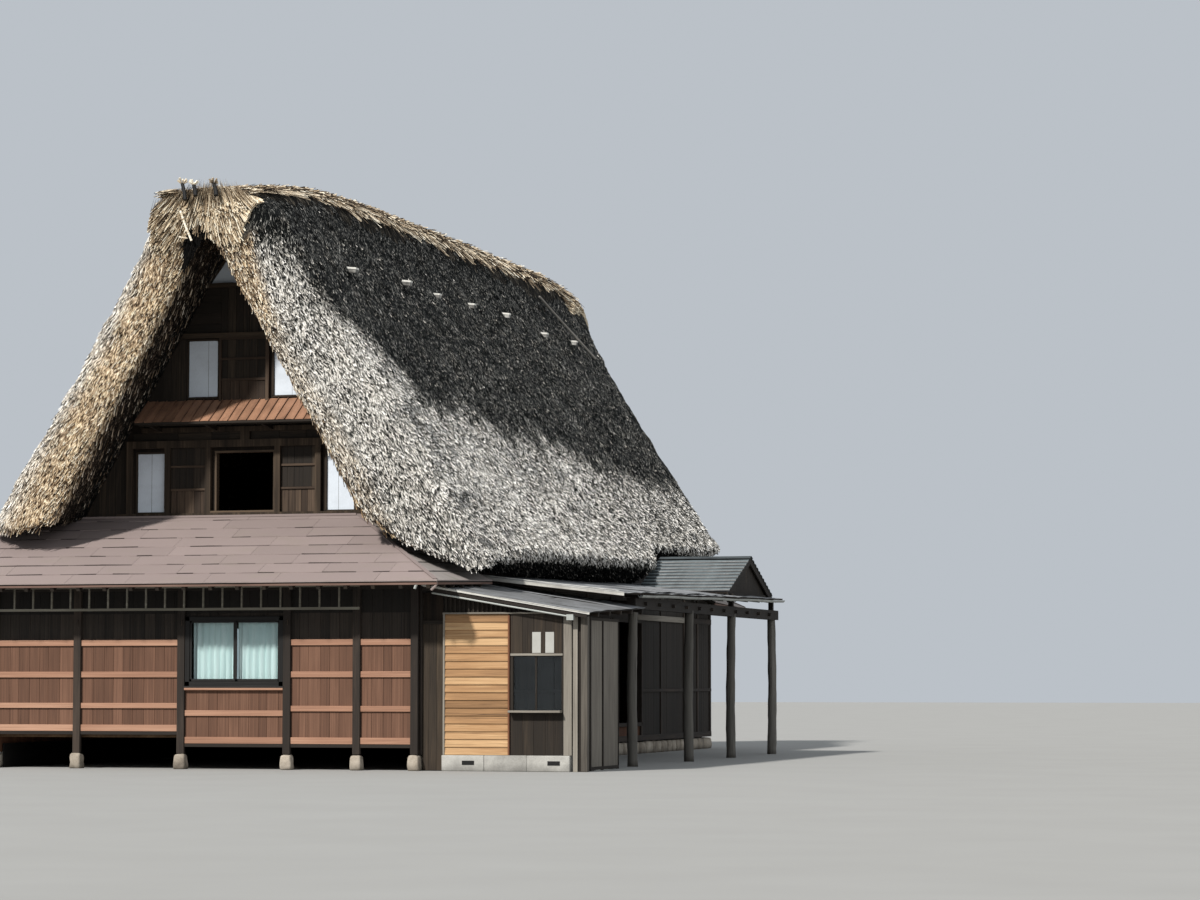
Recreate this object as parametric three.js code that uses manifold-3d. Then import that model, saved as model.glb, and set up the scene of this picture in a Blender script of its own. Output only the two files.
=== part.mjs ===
// Thatched farmhouse with a steep roof, a hipped front pent roof and lean-tos along the right side.
// Millimetres, +Z up. x runs along the front wall (x = 0 on the ridge line), y runs back along the ridge
// from the outer face of the front wall, z = 0 is the lowest ground under the stone pads.
import * as THREE from 'three';
import { mergeVertices } from 'three/addons/utils/BufferGeometryUtils.js';
import Module from 'manifold-3d';

const wasm = await Module();
wasm.setup();
const { Manifold, Mesh: SolidMesh } = wasm;

// ---------------------------------------------------------------- driving dimensions
const KEN = 1818;                 // bay of the timber frame
const HALF_W = 2 * KEN;           // half of the 4-bay front
const GABLE_F = 1780;             // outer face of the front gable boards
const GABLE_R = 16840;            // outer face of the rear gable boards
const WALL_R = 18620;             // outer face of the rear wall
const MID_Y = (GABLE_F + GABLE_R) / 2;
const VERGE_F = 100;              // front edge of the thatch
const VERGE_R = 18520;            // rear edge of the thatch
const GAP = 0.4;                  // clearance between touching pieces
const PENT_EAVE = 900;            // overhang of the pent roofs
const PENT_Z = 2950;              // top of the pent roof at its eave
const PENT_SLOPE = 0.46;
const PENT_X = 4300;              // half length of the pent eave
const FLOOR_Z = 580;              // raised ground floor
const ATTIC_Z = 3610;             // attic floor
const UPPER_Z = 6030;             // upper attic floor
const IN_FOOT = [3950, 3220];     // foot of the thatch's inner face
const IN_APEX = 9200;             // inner apex

const group = new THREE.Group();
const mats = {
  thatch: [0x9a9084, 0.95, 0], straw: [0xb9a070, 0.95, 0], timber: [0x3a2c22, 0.8, 0], board: [0x6b4634, 0.75, 0],
  dark: [0x231c17, 0.85, 0], shingle: [0x857672, 0.8, 0], redmetal: [0x9c6044, 0.6, 0.2], panel: [0xd8dbe2, 0.7, 0],
  stone: [0x9a9086, 0.9, 0], glass: [0xb8c4c0, 0.1, 0], cloth: [0xd8e8de, 0.9, 0], clap: [0xc48b50, 0.7, 0],
  metal: [0x80807e, 0.5, 0.5], porch: [0x6f8088, 0.5, 0.4], log: [0x59514a, 0.85, 0], concrete: [0x9b9890, 0.9, 0],
};
const V = (x, y) => new THREE.Vector2(x, y);

// ---------------------------------------------------------------- geometry helpers
function clean(g) {
  const c = g.index ? g.toNonIndexed() : g.clone();
  for (const a of Object.keys(c.attributes)) if (a !== 'position') c.deleteAttribute(a);
  return mergeVertices(c, 1e-3);
}
function solid(g) {
  if (!(g instanceof THREE.BufferGeometry)) return g;
  const c = clean(g);
  return new Manifold(new SolidMesh({
    numProp: 3,
    vertProperties: new Float32Array(c.attributes.position.array),
    triVerts: new Uint32Array(c.index.array),
  }));
}
function geometry(m) {
  const mesh = m.getMesh();
  const g = new THREE.BufferGeometry();
  g.setAttribute('position', new THREE.BufferAttribute(new Float32Array(mesh.vertProperties), 3));
  g.setIndex(new THREE.BufferAttribute(new Uint32Array(mesh.triVerts), 1));
  return g;
}
function add(name, g, mat) {
  const geo = g instanceof THREE.BufferGeometry ? g : geometry(g);
  const [color, roughness, metalness] = mats[mat];
  const m = new THREE.Mesh(geo, new THREE.MeshStandardMaterial({ color, roughness, metalness }));
  m.name = name;
  group.add(m);
  return m;
}
function box(x0, y0, z0, x1, y1, z1) {
  return new THREE.BoxGeometry(x1 - x0, y1 - y0, z1 - z0).translate((x0 + x1) / 2, (y0 + y1) / 2, (z0 + z1) / 2);
}
function outline(pts) {
  return new THREE.Shape(pts.map((p) => V(p[0], p[1])));
}
function cut(g, holes, tool) {
  return holes.reduce((m, h) => m.subtract(solid(tool(h))), solid(g));
}
// outline in (x, z), extruded from y0 to y1
function alongY(pts, y0, y1, holes = []) {
  const g = new THREE.ExtrudeGeometry(outline(pts), { depth: y1 - y0, bevelEnabled: false, steps: 1 })
    .rotateX(Math.PI / 2).translate(0, y1, 0);
  return holes.length ? cut(g, holes, (h) => alongY(h, y0 - 10, y1 + 10)) : g;
}
// outline in (y, z), extruded from x0 to x1
function alongX(pts, x0, x1, holes = []) {
  const g = new THREE.ExtrudeGeometry(outline(pts.map((p) => [-p[1], p[0]])), { depth: x1 - x0, bevelEnabled: false, steps: 1 })
    .rotateY(Math.PI / 2).translate(x0, 0, 0);
  return holes.length ? cut(g, holes, (h) => alongX(h, x0 - 10, x1 + 10)) : g;
}
const rect = (a0, b0, a1, b1) => [[a0, b0], [a1, b0], [a1, b1], [a0, b1]];
const union = (list) => list.map(solid).reduce((a, b) => a.add(b));

// closed body through rings of points, one ring at each station along y
function loft(rings) {
  const n = rings[0].length, pos = [], idx = [];
  for (const r of rings) for (const p of r) pos.push(...p);
  const area = (q) => q.reduce((s, p, i) => { const w = q[(i + 1) % q.length]; return s + p[0] * w[1] - w[0] * p[1]; }, 0);
  const cap = (ring) => {
    const q = ring.map((p) => [p[0], p[2]]);
    const sign = Math.sign(area(q));
    return THREE.ShapeUtils.triangulateShape(q.map((p) => V(p[0], p[1])), [])
      .map((t) => (Math.sign(area(t.map((i) => q[i]))) === sign ? t : [t[0], t[2], t[1]]));
  };
  const base = (rings.length - 1) * n;
  for (const t of cap(rings[0])) idx.push(t[0], t[1], t[2]);
  for (const t of cap(rings[rings.length - 1])) idx.push(base + t[0], base + t[2], base + t[1]);
  for (let k = 0; k + 1 < rings.length; k++) {
    for (let i = 0; i < n; i++) {
      const a = k * n + i, b = k * n + (i + 1) % n, c = a + n, d = b + n;
      idx.push(b, a, c, b, c, d);
    }
  }
  const g = new THREE.BufferGeometry();
  g.setAttribute('position', new THREE.BufferAttribute(new Float32Array(pos), 3));
  g.setIndex(idx);
  return g;
}
function outward(g) {
  const p = g.attributes.position, ix = g.index.array;
  let vol = 0;
  const a = new THREE.Vector3(), b = new THREE.Vector3(), c = new THREE.Vector3();
  for (let i = 0; i < ix.length; i += 3) {
    a.fromBufferAttribute(p, ix[i]); b.fromBufferAttribute(p, ix[i + 1]); c.fromBufferAttribute(p, ix[i + 2]);
    vol += a.dot(b.cross(c));
  }
  if (vol < 0) for (let i = 0; i < ix.length; i += 3) { const t = ix[i]; ix[i] = ix[i + 1]; ix[i + 1] = t; }
  return g;
}
function mirrorX(g) {
  return outward(clean(g.clone().scale(-1, 1, 1)));
}
function lerpTable(tab, y) {
  if (y <= tab[0][0]) return tab[0][1];
  for (let i = 1; i < tab.length; i++) {
    if (y <= tab[i][0]) {
      const t = (y - tab[i - 1][0]) / (tab[i][0] - tab[i - 1][0]);
      return tab[i - 1][1] + t * (tab[i][1] - tab[i - 1][1]);
    }
  }
  return tab[tab.length - 1][1];
}
// the largest body of a cut result
function main(m) {
  const parts = m.decompose();
  let best = parts[0];
  for (const q of parts) if (q.volume() > best.volume()) best = q;
  return best;
}

// ---------------------------------------------------------------- thatch
const ridgeTop = [[350, 9450], [1000, 9570], [1700, 9680], [2700, 9820], [3800, 9930], [6400, 10020], [12000, 10050], [17000, 10020], [17800, 9960], [18270, 9900]];
const lipRight = [[100, 4000], [130, 3570], [180, 3450], [250, 3390], [350, 3290], [500, 3160], [600, 3100], [750, 3120], [900, 3180],
  [1140, 3240], [1400, 3290], [1700, 3330], [2900, 3460], [4500, 3530], [8200, 3560], [11200, 3600], [11500, 3720],
  [11800, 3960], [12300, 3940], [14000, 3990], [17000, 4060], [18520, 4160]];
const lipLeft = [[100, 3900], [180, 3850], [1300, 3850], [1900, 3700], [2900, 3520], [4500, 3530], [8200, 3560], [14000, 3540], [15600, 3500],
  [16700, 3680], [17300, 3850], [18440, 3850], [18520, 3900]];
const flareAt = [[350, -120], [1700, 0], [3500, 190], [15000, 190], [18270, 120]];
const inZ = (x) => IN_APEX - (IN_APEX - IN_FOOT[1]) / IN_FOOT[0] * Math.abs(x);
const inX = (z) => IN_FOOT[0] * (IN_APEX - z) / (IN_APEX - IN_FOOT[1]);
function outX(z, y) {
  const w = Math.max(0, (5000 - z) / 1450);
  return 1050 + (9050 - z) / 1.61 + lerpTable(flareAt, y) * Math.min(1.3, Math.pow(w, 1.3));
}
function topZ(x, y) {
  const a = 9050 + (1050 - x) * 1.61, b = lerpTable(ridgeTop, y) - 120 - 0.00015 * x * x, k = 120;
  return -k * Math.log(Math.exp(-(a - 9000) / k) + Math.exp(-(b - 9000) / k)) + 9000;
}
// the verges are rounded: near either end the outside is drawn in towards the inner edge
const DRAW_X = [[6800, 1200], [7600, 1100], [8400, 800], [8800, 450], [9100, 150], [9300, 0]];
const DRAW_Z = [[8400, 0], [8800, 90], [9100, 150], [9300, 180]];
const DRAW_Y = [[7600, 1040], [8400, 900], [8800, 700], [9100, 450], [9300, 320]];
function drawn(p, d) {
  const a = lerpTable(DRAW_Y, p[1]), f = d >= a ? 0 : 1 - Math.sqrt(1 - (1 - d / a) ** 2);
  return [Math.max(0.2, p[0] - f * lerpTable(DRAW_X, p[1])), p[1] - f * lerpTable(DRAW_Z, p[1])];
}
const TOP_X = [0.2, 300, 600, 900, 1200, 1450];
const STEP_F = GABLE_F - 30, ROOM = 20;
// inner edge of the verges: nearly straight back to the gable boards, then out to the roof's inner face
const FOOTS = [[0, [2740, 4060]], [60, [2650, 4070]], [STEP_F - VERGE_F, [2880, 4160]], [STEP_F - VERGE_F + ROOM, IN_FOOT]];
const LIFTED = [[0, [2640, 4270]], [60, [2560, 4270]], [STEP_F - VERGE_F, [2830, 4250]], [STEP_F - VERGE_F + ROOM, [3560, 3812]]];
const APEXES = [[0, 8780], [60, 8840], [STEP_F - VERGE_F, 9150], [STEP_F - VERGE_F + ROOM, IN_APEX]];
function pick(tab, d) {
  for (let i = 1; i < tab.length; i++) {
    if (d <= tab[i][0]) {
      const t = (d - tab[i - 1][0]) / (tab[i][0] - tab[i - 1][0]);
      return [0, 1].map((k) => tab[i - 1][1][k] + t * (tab[i][1][k] - tab[i - 1][1][k]));
    }
  }
  return tab[tab.length - 1][1];
}
function thatchRing(y, lipTab, raisedRear) {
  const d = Math.min(y - VERGE_F, VERGE_R - y);
  const zl = lerpTable(lipTab, y);
  const out = TOP_X.map((x) => [x, topZ(x, y)]);
  for (const z of [7600, 6800, 6000, 5200, 4600]) out.push([outX(z, y), z]);
  out.push([outX(zl, y), zl]);
  const pts = out.map((p) => drawn(p, d)).map((p) => [p[0], y, p[1]]);
  let foot = pick(FOOTS, d);
  if (raisedRear && y > 11000) {
    const raised = pick(LIFTED, VERGE_R - y);
    const t = Math.min(1, Math.max(0, (y - 11200) / 600));
    foot = [0, 1].map((k) => foot[k] + t * (raised[k] - foot[k]));
  }
  const apex = lerpTable(APEXES, d);
  pts.push([foot[0], y, foot[1]]);
  for (const t of [0.33, 0.66]) pts.push([foot[0] * (1 - t) + 0.2 * t, y, foot[1] * (1 - t) + apex * t]);
  pts.push([0.2, y, apex]);
  return pts;
}
const ends = [0, 40, 110, 220, 380, 560, 760, 1040, 1300];
const stations = [...ends.map((d) => VERGE_F + d), STEP_F, STEP_F + ROOM, 2900, 4500, 6400, 8200, 10000, 11200, 11500, 11800, 12300, 14000, 15600,
  VERGE_R - (STEP_F - VERGE_F + ROOM), VERGE_R - (STEP_F - VERGE_F), ...ends.slice().reverse().map((d) => VERGE_R - d)];
const thatchRight = outward(loft(stations.map((y) => thatchRing(y, lipRight, true))));
const thatchLeft = mirrorX(outward(loft(stations.map((y) => thatchRing(y, lipLeft, false)))));
add('thatch_right', thatchRight, 'thatch');
add('thatch_left', thatchLeft, 'thatch');

const capX = [0, 300, 600, 900, 1200, 1450];
function capRing(y) {
  const d = Math.min(y - VERGE_F, VERGE_R - y);
  const on = capX.map((x) => drawn([x, topZ(x, y)], d));
  const up = on.map((p, i) => [p[0] * (i ? 1 : 0), y, p[1] + (i < 5 ? 120 : 60)]);
  const lo = on.map((p, i) => [p[0] * (i ? 1 : 0), y, p[1] + 1.5]);
  const ring = [];
  for (let i = up.length - 1; i > 0; i--) ring.push([-up[i][0], y, up[i][2]]);
  for (const p of up) ring.push(p);
  for (let i = lo.length - 1; i > 0; i--) ring.push(lo[i]);
  for (const p of lo) ring.push([-p[0], y, p[2]]);
  return ring;
}
const solidRight = solid(thatchRight), solidLeft = solid(thatchLeft);
const cap = solid(outward(loft(stations.slice(2, -2).map(capRing))));
add('ridge_cap', main(cap.subtract(solidRight.translate([0, 0, 1.5])).subtract(solidLeft.translate([0, 0, 1.5]))), 'straw');

// ---------------------------------------------------------------- roof frames and floors
function roofFrame(y) {
  const e = 6, t = 210;
  const zf = ATTIC_Z + GAP;
  const outer = [[-inX(zf) + e, zf], [inX(zf) - e, zf], [0, IN_APEX - e * 1.8]];
  const inner = [[-inX(zf) + e + t * 1.25, zf - 10], [inX(zf) - e - t * 1.25, zf - 10], [0, IN_APEX - e * 1.8 - t * 1.9]];
  const legs = solid(alongY(outer, y, y + 170)).subtract(solid(alongY(inner, y - 10, y + 180)))
    .intersect(solid(box(-3598, y - 20, 3000, 3598, y + 200, 9900)));
  const zt = UPPER_Z - 80 - GAP;
  const tie = solid(box(-inX(zt) + 120, y + 10, zt - 170, inX(zt) - 120, y + 160, zt));
  return legs.add(tie);
}
[3900, 9220, 14560].forEach((y, i) => add(`roof_frame_${i + 1}`, roofFrame(y), 'timber'));
const HALF_IN = HALF_W - 60;
add('attic_floor', box(-3600, GABLE_F + 60, ATTIC_Z - 100, 3600, GABLE_R - 90, ATTIC_Z), 'board');
add('upper_attic_floor', box(-1780, GABLE_F + 60, UPPER_Z - 80, 1780, GABLE_R - 90, UPPER_Z), 'board');
add('ground_floor', box(-3574, 60, FLOOR_Z - 80, 3574, WALL_R - 60, FLOOR_Z), 'board');

// ---------------------------------------------------------------- gables
const G_LOW = 3511, G_MID = 5950, G_TOP = 8060;
const inset = 14;
const wallX = (z) => inX(z) - inset;
const DOOR = rect(-530, 4210, 540, 5240);
const PANEL_LL = rect(-1960, 4210, -1430, 5230), PANEL_LR = rect(1430, 4210, 1960, 5230);
const PANEL_UL = rect(-1050, 6130, -480, 7110), PANEL_UR = rect(480, 6130, 1050, 7110);
const shrink = (r, s) => rect(r[0][0] + s, r[0][1] + s, r[2][0] - s, r[2][1] - s);
function gable(tag, y0, y1, yFrame0, yFrame1, top) {
  add(`${tag}_gable_wall_lower`, alongY([[-3600, G_LOW + 101], [3600, G_LOW + 101], [wallX(3800), 3800], [wallX(G_MID), G_MID], [-wallX(G_MID), G_MID], [-wallX(3800), 3800]],
    y0, y1, top ? [DOOR, PANEL_LL, PANEL_LR] : [PANEL_LL, PANEL_LR]), 'dark');
  const up = [[-wallX(G_MID), G_MID + GAP], [wallX(G_MID), G_MID + GAP], [0, IN_APEX - 30]];
  const tri = [[-640, G_TOP], [640, G_TOP], [0, G_TOP + 860]];
  add(`${tag}_gable_wall_upper`, alongY(up, y0, y1, top ? [PANEL_UL, PANEL_UR, tri] : [PANEL_UL, PANEL_UR]), 'dark');
  const ym = (y0 + y1) / 2;
  const list = [['lower_left', PANEL_LL], ['lower_right', PANEL_LR], ['upper_left', PANEL_UL], ['upper_right', PANEL_UR]];
  if (top) for (const [n, r] of list) add(`gable_panel_${n}`, alongY(shrink(r, GAP), ym - 12, ym + 12), 'panel');
  if (top) add('gable_panel_top', alongY([[-638.5, G_TOP + 0.6], [638.5, G_TOP + 0.6], [0, G_TOP + 858]], ym - 12, ym + 12), 'panel');
  // posts and beams standing proud of the boards
  const bars = [];
  const f = (x0, z0, x1, z1) => bars.push(box(x0, yFrame0, z0, x1, yFrame1, z1));
  f(-2300, 4120, 2300, 4205);
  f(-2100, 5300, 2100, 5420);
  for (const x of [-2070, -1380, -650, 590, 1310, 2000]) f(x - 45, 4120, x + 55, 5420);
  f(-100, 5330, -40, 5640);
  f(40 - 100, 5330, 100, 5640);
  f(-1850, 5560, 1850, 5640);
  add(`${tag}_gable_frame`, union(bars.filter((_, i) => i !== 8)), 'timber');
}
gable('front', GABLE_F, GABLE_F + 50, GABLE_F - 80, GABLE_F - GAP, true);
gable('rear', GABLE_R - 50, GABLE_R, GABLE_R + GAP, GABLE_R + 80, false);
add('rear_gable_panels', alongY([[-1980, 4190], [1980, 4190], [1980, 5250], [1070, 5250], [1070, 7130], [-1070, 7130], [-1070, 5250], [-1980, 5250]],
  GABLE_R - 80, GABLE_R - 50 - GAP), 'panel');

// red-brown metal pent roofs between the gable storeys
const redPts = [[1180, 5660], [1180, 5700], [GABLE_F - GAP, 6105], [GABLE_F - GAP, 6065]];
add('front_gable_pent_roof', alongX(redPts, -1760, 1760), 'redmetal');
add('rear_gable_pent_roof', alongX(redPts.map((p) => [2 * MID_Y - p[0], p[1]]).reverse(), -1760, 1760), 'redmetal');

// ---------------------------------------------------------------- pent roofs, hipped at the right end
function pentRoof() {
  const run = GABLE_F - 81, t = 60, xe = PENT_X, side = 1900, hipX = 2020, wallX0 = HALF_W + 74;
  const front = (y) => PENT_Z + PENT_SLOPE * (y + PENT_EAVE);
  const rise = 0.03, k = (front(run) - PENT_Z - rise * (run + PENT_EAVE)) / (xe - hipX);
  const flank = (x, y) => PENT_Z + rise * (y + PENT_EAVE) + k * (xe - x);
  const plan = [[-xe, -PENT_EAVE, front(-PENT_EAVE)], [xe, -PENT_EAVE, front(-PENT_EAVE)], [xe, side, flank(xe, side)], [wallX0, side, flank(wallX0, side)],
    [wallX0, run + 20, flank(wallX0, run + 20)], [hipX, run, front(run)], [-xe, run, front(run)]];
  const tris = [[0, 1, 5], [0, 5, 6], [1, 2, 4], [2, 3, 4], [1, 4, 5]];
  const pos = [], idx = [];
  for (const p of plan) pos.push(...p);
  for (const [x, y, z] of plan) pos.push(x, y, z - t);
  const n = plan.length;
  for (const q of tris) idx.push(q[0], q[1], q[2], q[0] + n, q[2] + n, q[1] + n);
  for (let i = 0; i < n; i++) { const j = (i + 1) % n; idx.push(i, i + n, j + n, i, j + n, j); }
  const g = new THREE.BufferGeometry();
  g.setAttribute('position', new THREE.BufferAttribute(new Float32Array(pos), 3));
  g.setIndex(idx);
  return outward(g);
}
const below = (s) => [[0, 0, -4], [-3, 0, -2], [3, 0, -2], [0, -3, -2], [0, 3, -2]].reduce((m, t) => m.add(s.translate(t)), s);
const pentF = main(solid(pentRoof()).subtract(below(solidRight)).subtract(below(solidLeft)));
add('front_pent_roof', pentF, 'shingle');
const pentBack = outward(clean(pentRoof().clone().scale(1, -1, 1).translate(0, 2 * MID_Y, 0)));
add('rear_pent_roof', main(solid(pentBack).subtract(below(solidRight)).subtract(below(solidLeft))), 'shingle');

// ---------------------------------------------------------------- front wall
const POSTS = [-HALF_W, -2154, -334, 1486, 2666, HALF_W];
const WIN = rect(-270, 1310, 1420, 2440);
const WALL_TOP = 3200;
const frontPts = [[-3575, 600], [-334, 600], [-334, 410], [3575, 410], [3575, WALL_TOP], [-3575, WALL_TOP]];
add('front_wall', alongY(frontPts, 0, 45, [WIN]), 'board');
function postFrame(y0, y1) {
  const bars = POSTS.map((x) => box(x - 62, y0, 250 + GAP, x + 62, y1, WALL_TOP));
  bars.push(box(-HALF_W, y0 + 10, 600, -334, y1 - 10, 700), box(-334, y0 + 10, 410, HALF_W, y1 - 10, 510));
  bars.push(box(-HALF_W - 60, y0 - (y0 < 0 ? 25 : 0), 3030, HALF_W + 60, y1 + (y0 < 0 ? 0 : 25), 3190));
  return union(bars);
}
add('front_frame', postFrame(-70, -GAP), 'timber');
POSTS.forEach((x, i) => add(`stone_pad_${i + 1}`,
  new THREE.CylinderGeometry(0.5, 0.56, 250, 4).rotateX(Math.PI / 2).rotateZ(Math.PI / 4).scale(270, 270, 1).translate(x, -30, 125), 'stone'));
const wf = solid(alongY(shrink(WIN, GAP), -55, 44, [rect(-190, 1400, 1345, 2375)]));
add('window_frame', wf.add(solid(box(550, -50, 1390, 625, 0, 2385))), 'timber');
add('window_glass', box(-189, 4, 1401, 1344, 10, 2374), 'glass');
add('curtain_left', box(-185, 75, 1330, 575, 115, 2400), 'cloth');
add('curtain_right', box(590, 75, 1330, 1340, 115, 2400), 'cloth');

// ---------------------------------------------------------------- side and rear walls
const sidePts = [[60, 250.4], [WALL_R - 60, 250.4], [WALL_R - 60, WALL_TOP], [GABLE_R, WALL_TOP], [GABLE_R, 3509.6], [GABLE_F, 3509.6], [GABLE_F, WALL_TOP], [60, WALL_TOP]];
const ENTRY = rect(11000, FLOOR_Z + 20, 13000, 2550);
const SIDE_WIN = [rect(3200, 1310, 4880, 2440), rect(9400, 1310, 11080, 2440)];
add('right_wall', alongX(sidePts, HALF_W - 60, HALF_W + 60, [ENTRY]), 'board');
add('right_wall_upper', box(3602, 11900, 3510, 3690, 16880, 3800), 'dark');
// the left wall closes the straight ends of the pent roofs and stops under the thatch
const under = (y) => PENT_Z + PENT_SLOPE * (y + PENT_EAVE) - 75;
const leftPts = [[60, 250.4], [WALL_R - 60, 250.4], [WALL_R - 60, under(60)], [WALL_R - 1690, under(1690)], [GABLE_R + 8, under(1690)], [GABLE_R + 8, 3509.6],
  [GABLE_F - 8, 3509.6], [GABLE_F - 8, under(1690)], [1690, under(1690)], [60, under(60)]];
add('left_wall', main(alongX(leftPts, -HALF_W - 60, -HALF_W + 60, SIDE_WIN).subtract(below(solidLeft))), 'board');
add('left_window_glass', box(-HALF_W + 61, 3120, 1250, -HALF_W + 67, 11160, 2500), 'glass');
add('rear_wall', alongY([[-HALF_W - 60, 250.4], [HALF_W + 60, 250.4], [HALF_W + 60, WALL_TOP], [-HALF_W - 60, WALL_TOP]], WALL_R - 45, WALL_R, [WIN]), 'board');
add('rear_window_glass', box(-300, WALL_R - 52, 1280, 1450, WALL_R - 46, 2470), 'glass');
add('rear_frame', postFrame(WALL_R + GAP, WALL_R + 70), 'timber');
add('stone_plinth', union([
  box(-HALF_W - 90, 110, 0, -HALF_W + 90, WALL_R + 110, 250), box(HALF_W - 90, 110, 0, HALF_W + 90, WALL_R + 110, 250),
  box(-HALF_W - 90, WALL_R - 90, 0, HALF_W + 90, WALL_R + 110, 250)]), 'stone');

// ---------------------------------------------------------------- ladder stored under the front eave
const rails = [box(-3500, -420, 2530, 2840, -385, 2570), box(-3500, -420, 2890, 2840, -385, 2930)];
for (let x = -3440; x < 2800; x += 330) rails.push(box(x - 13, -415, 2550, x + 13, -390, 2910));
for (const x of [-3000, -334, 1486]) rails.push(box(x - 18, -418, 2900, x + 18, -388, 3082));
add('eave_ladder', union(rails), 'timber');

// ---------------------------------------------------------------- side annex
const AX0 = 3700, AX1 = 6200;
add('annex_base', union([box(4080, -30, 0, 6190, 110, 250), box(6060, -30, 0, 6190, 400, 250)]), 'concrete');
add('annex_dark_boards', box(AX0 + 30, 80, 0, 4075, 120, 2800), 'dark');
add('annex_clapboard_wall', box(4095, 0, 250 + GAP, 5190, 60, 2480), 'clap');
add('annex_shop_front', alongY(rect(5205, 250 + GAP, 6205, 2460), 0, 60, [rect(5250, 950, 6040, 1790)]), 'dark');
add('annex_shop_glass', box(5252, 25, 952, 6038, 31, 1788), 'glass');
add('annex_corner_post', box(6220, 0, 0, 6460, 130, 2410), 'log');
add('annex_side_boards', box(6300, 560, 0, 6345, 2200, 2410), 'log');
const lowZ = (x) => 2840 - 0.169 * (x - 4300);
const upZ = (x) => 3030 - 0.1156 * (x - 4750);
// a sheet from x0 to x1 that rises by k per mm towards the back
function slab(fz, x0, x1, t, y0, y1, k) {
  const at = (x, y, d) => [x, y, fz(x) + k * (y - y0) - d];
  const ring = (y) => [at(x0, y, t), at(x1, y, t), at(x1, y, 0), at(x0, y, 0)];
  return solid(outward(loft([ring(y0), ring(y1)])));
}
add('lean_to_roof_lower', slab(lowZ, 3760, 6560, 45, -150, 3300, 0.042), 'metal');
const leanUpper = main(slab(upZ, 3710, 6440, 45, 2300, 13800, 0.015).subtract(below(solidRight)));
add('lean_to_roof_upper', leanUpper, 'metal');
const LOG_Y = [3420, 7100, 10200, 13500];
add('annex_post_frame', union([box(6150, 3330, 2600, 6310, 13760, 2785),
  ...LOG_Y.map((y) => new THREE.CylinderGeometry(78, 92, 2650, 14).rotateX(Math.PI / 2).translate(6230, y, 1325))]), 'log');

// gabled porch roof with its ridge across the eave
const PY = 11900, PZ = 3790, PH = 1780;
const porchTop = [[PY - PH, PZ - 700], [PY, PZ], [PY + PH, PZ - 700], [PY + PH, PZ - 750], [PY, PZ - 50], [PY - PH, PZ - 750]];
add('porch_roof', main(solid(alongX(porchTop.slice().reverse(), 4420, 6220)).subtract(below(solidRight)).subtract(leanUpper.translate([0, 0, 3]).add(leanUpper))), 'porch');
add('porch_gable', alongX([[PY - 1500, 3060], [PY + 1500, 3060], [PY + 1500, PZ - 660], [PY, PZ - 66], [PY - 1500, PZ - 660]], 6080, 6120), 'dark');

// ---------------------------------------------------------------- origin at the bottom centre of the whole
const bounds = new THREE.Box3().setFromObject(group);
const c = bounds.getCenter(new THREE.Vector3());
export const OFFSET = [c.x, c.y, bounds.min.z];
group.position.set(-c.x, -c.y, -bounds.min.z);
export default group;
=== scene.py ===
import math

import bpy
import numpy as np
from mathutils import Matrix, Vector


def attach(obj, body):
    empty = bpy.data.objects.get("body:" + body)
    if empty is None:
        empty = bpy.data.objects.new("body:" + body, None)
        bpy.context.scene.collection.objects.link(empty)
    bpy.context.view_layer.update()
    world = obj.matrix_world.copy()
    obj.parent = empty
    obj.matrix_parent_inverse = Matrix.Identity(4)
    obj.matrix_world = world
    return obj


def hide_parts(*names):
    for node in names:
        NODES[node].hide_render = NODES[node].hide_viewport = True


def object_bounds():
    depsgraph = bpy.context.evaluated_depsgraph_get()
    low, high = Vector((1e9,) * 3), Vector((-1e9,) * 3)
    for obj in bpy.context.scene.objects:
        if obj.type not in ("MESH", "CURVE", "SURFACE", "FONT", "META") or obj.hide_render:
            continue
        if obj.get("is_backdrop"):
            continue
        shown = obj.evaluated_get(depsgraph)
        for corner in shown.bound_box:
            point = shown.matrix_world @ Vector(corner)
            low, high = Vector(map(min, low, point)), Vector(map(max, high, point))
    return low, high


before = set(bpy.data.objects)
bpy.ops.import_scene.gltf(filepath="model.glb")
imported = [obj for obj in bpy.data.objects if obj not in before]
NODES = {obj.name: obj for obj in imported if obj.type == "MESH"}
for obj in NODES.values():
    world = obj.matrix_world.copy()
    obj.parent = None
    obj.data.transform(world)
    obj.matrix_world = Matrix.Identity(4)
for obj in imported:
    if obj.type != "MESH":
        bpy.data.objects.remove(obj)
CAD_LO, CAD_HI = (list(c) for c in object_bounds())
OFF = np.array([0.938828, 9.31, 0.0])  # house coordinates less this are the frame's
TOP_Z = 10.046  # nothing rises over the ridge


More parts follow.
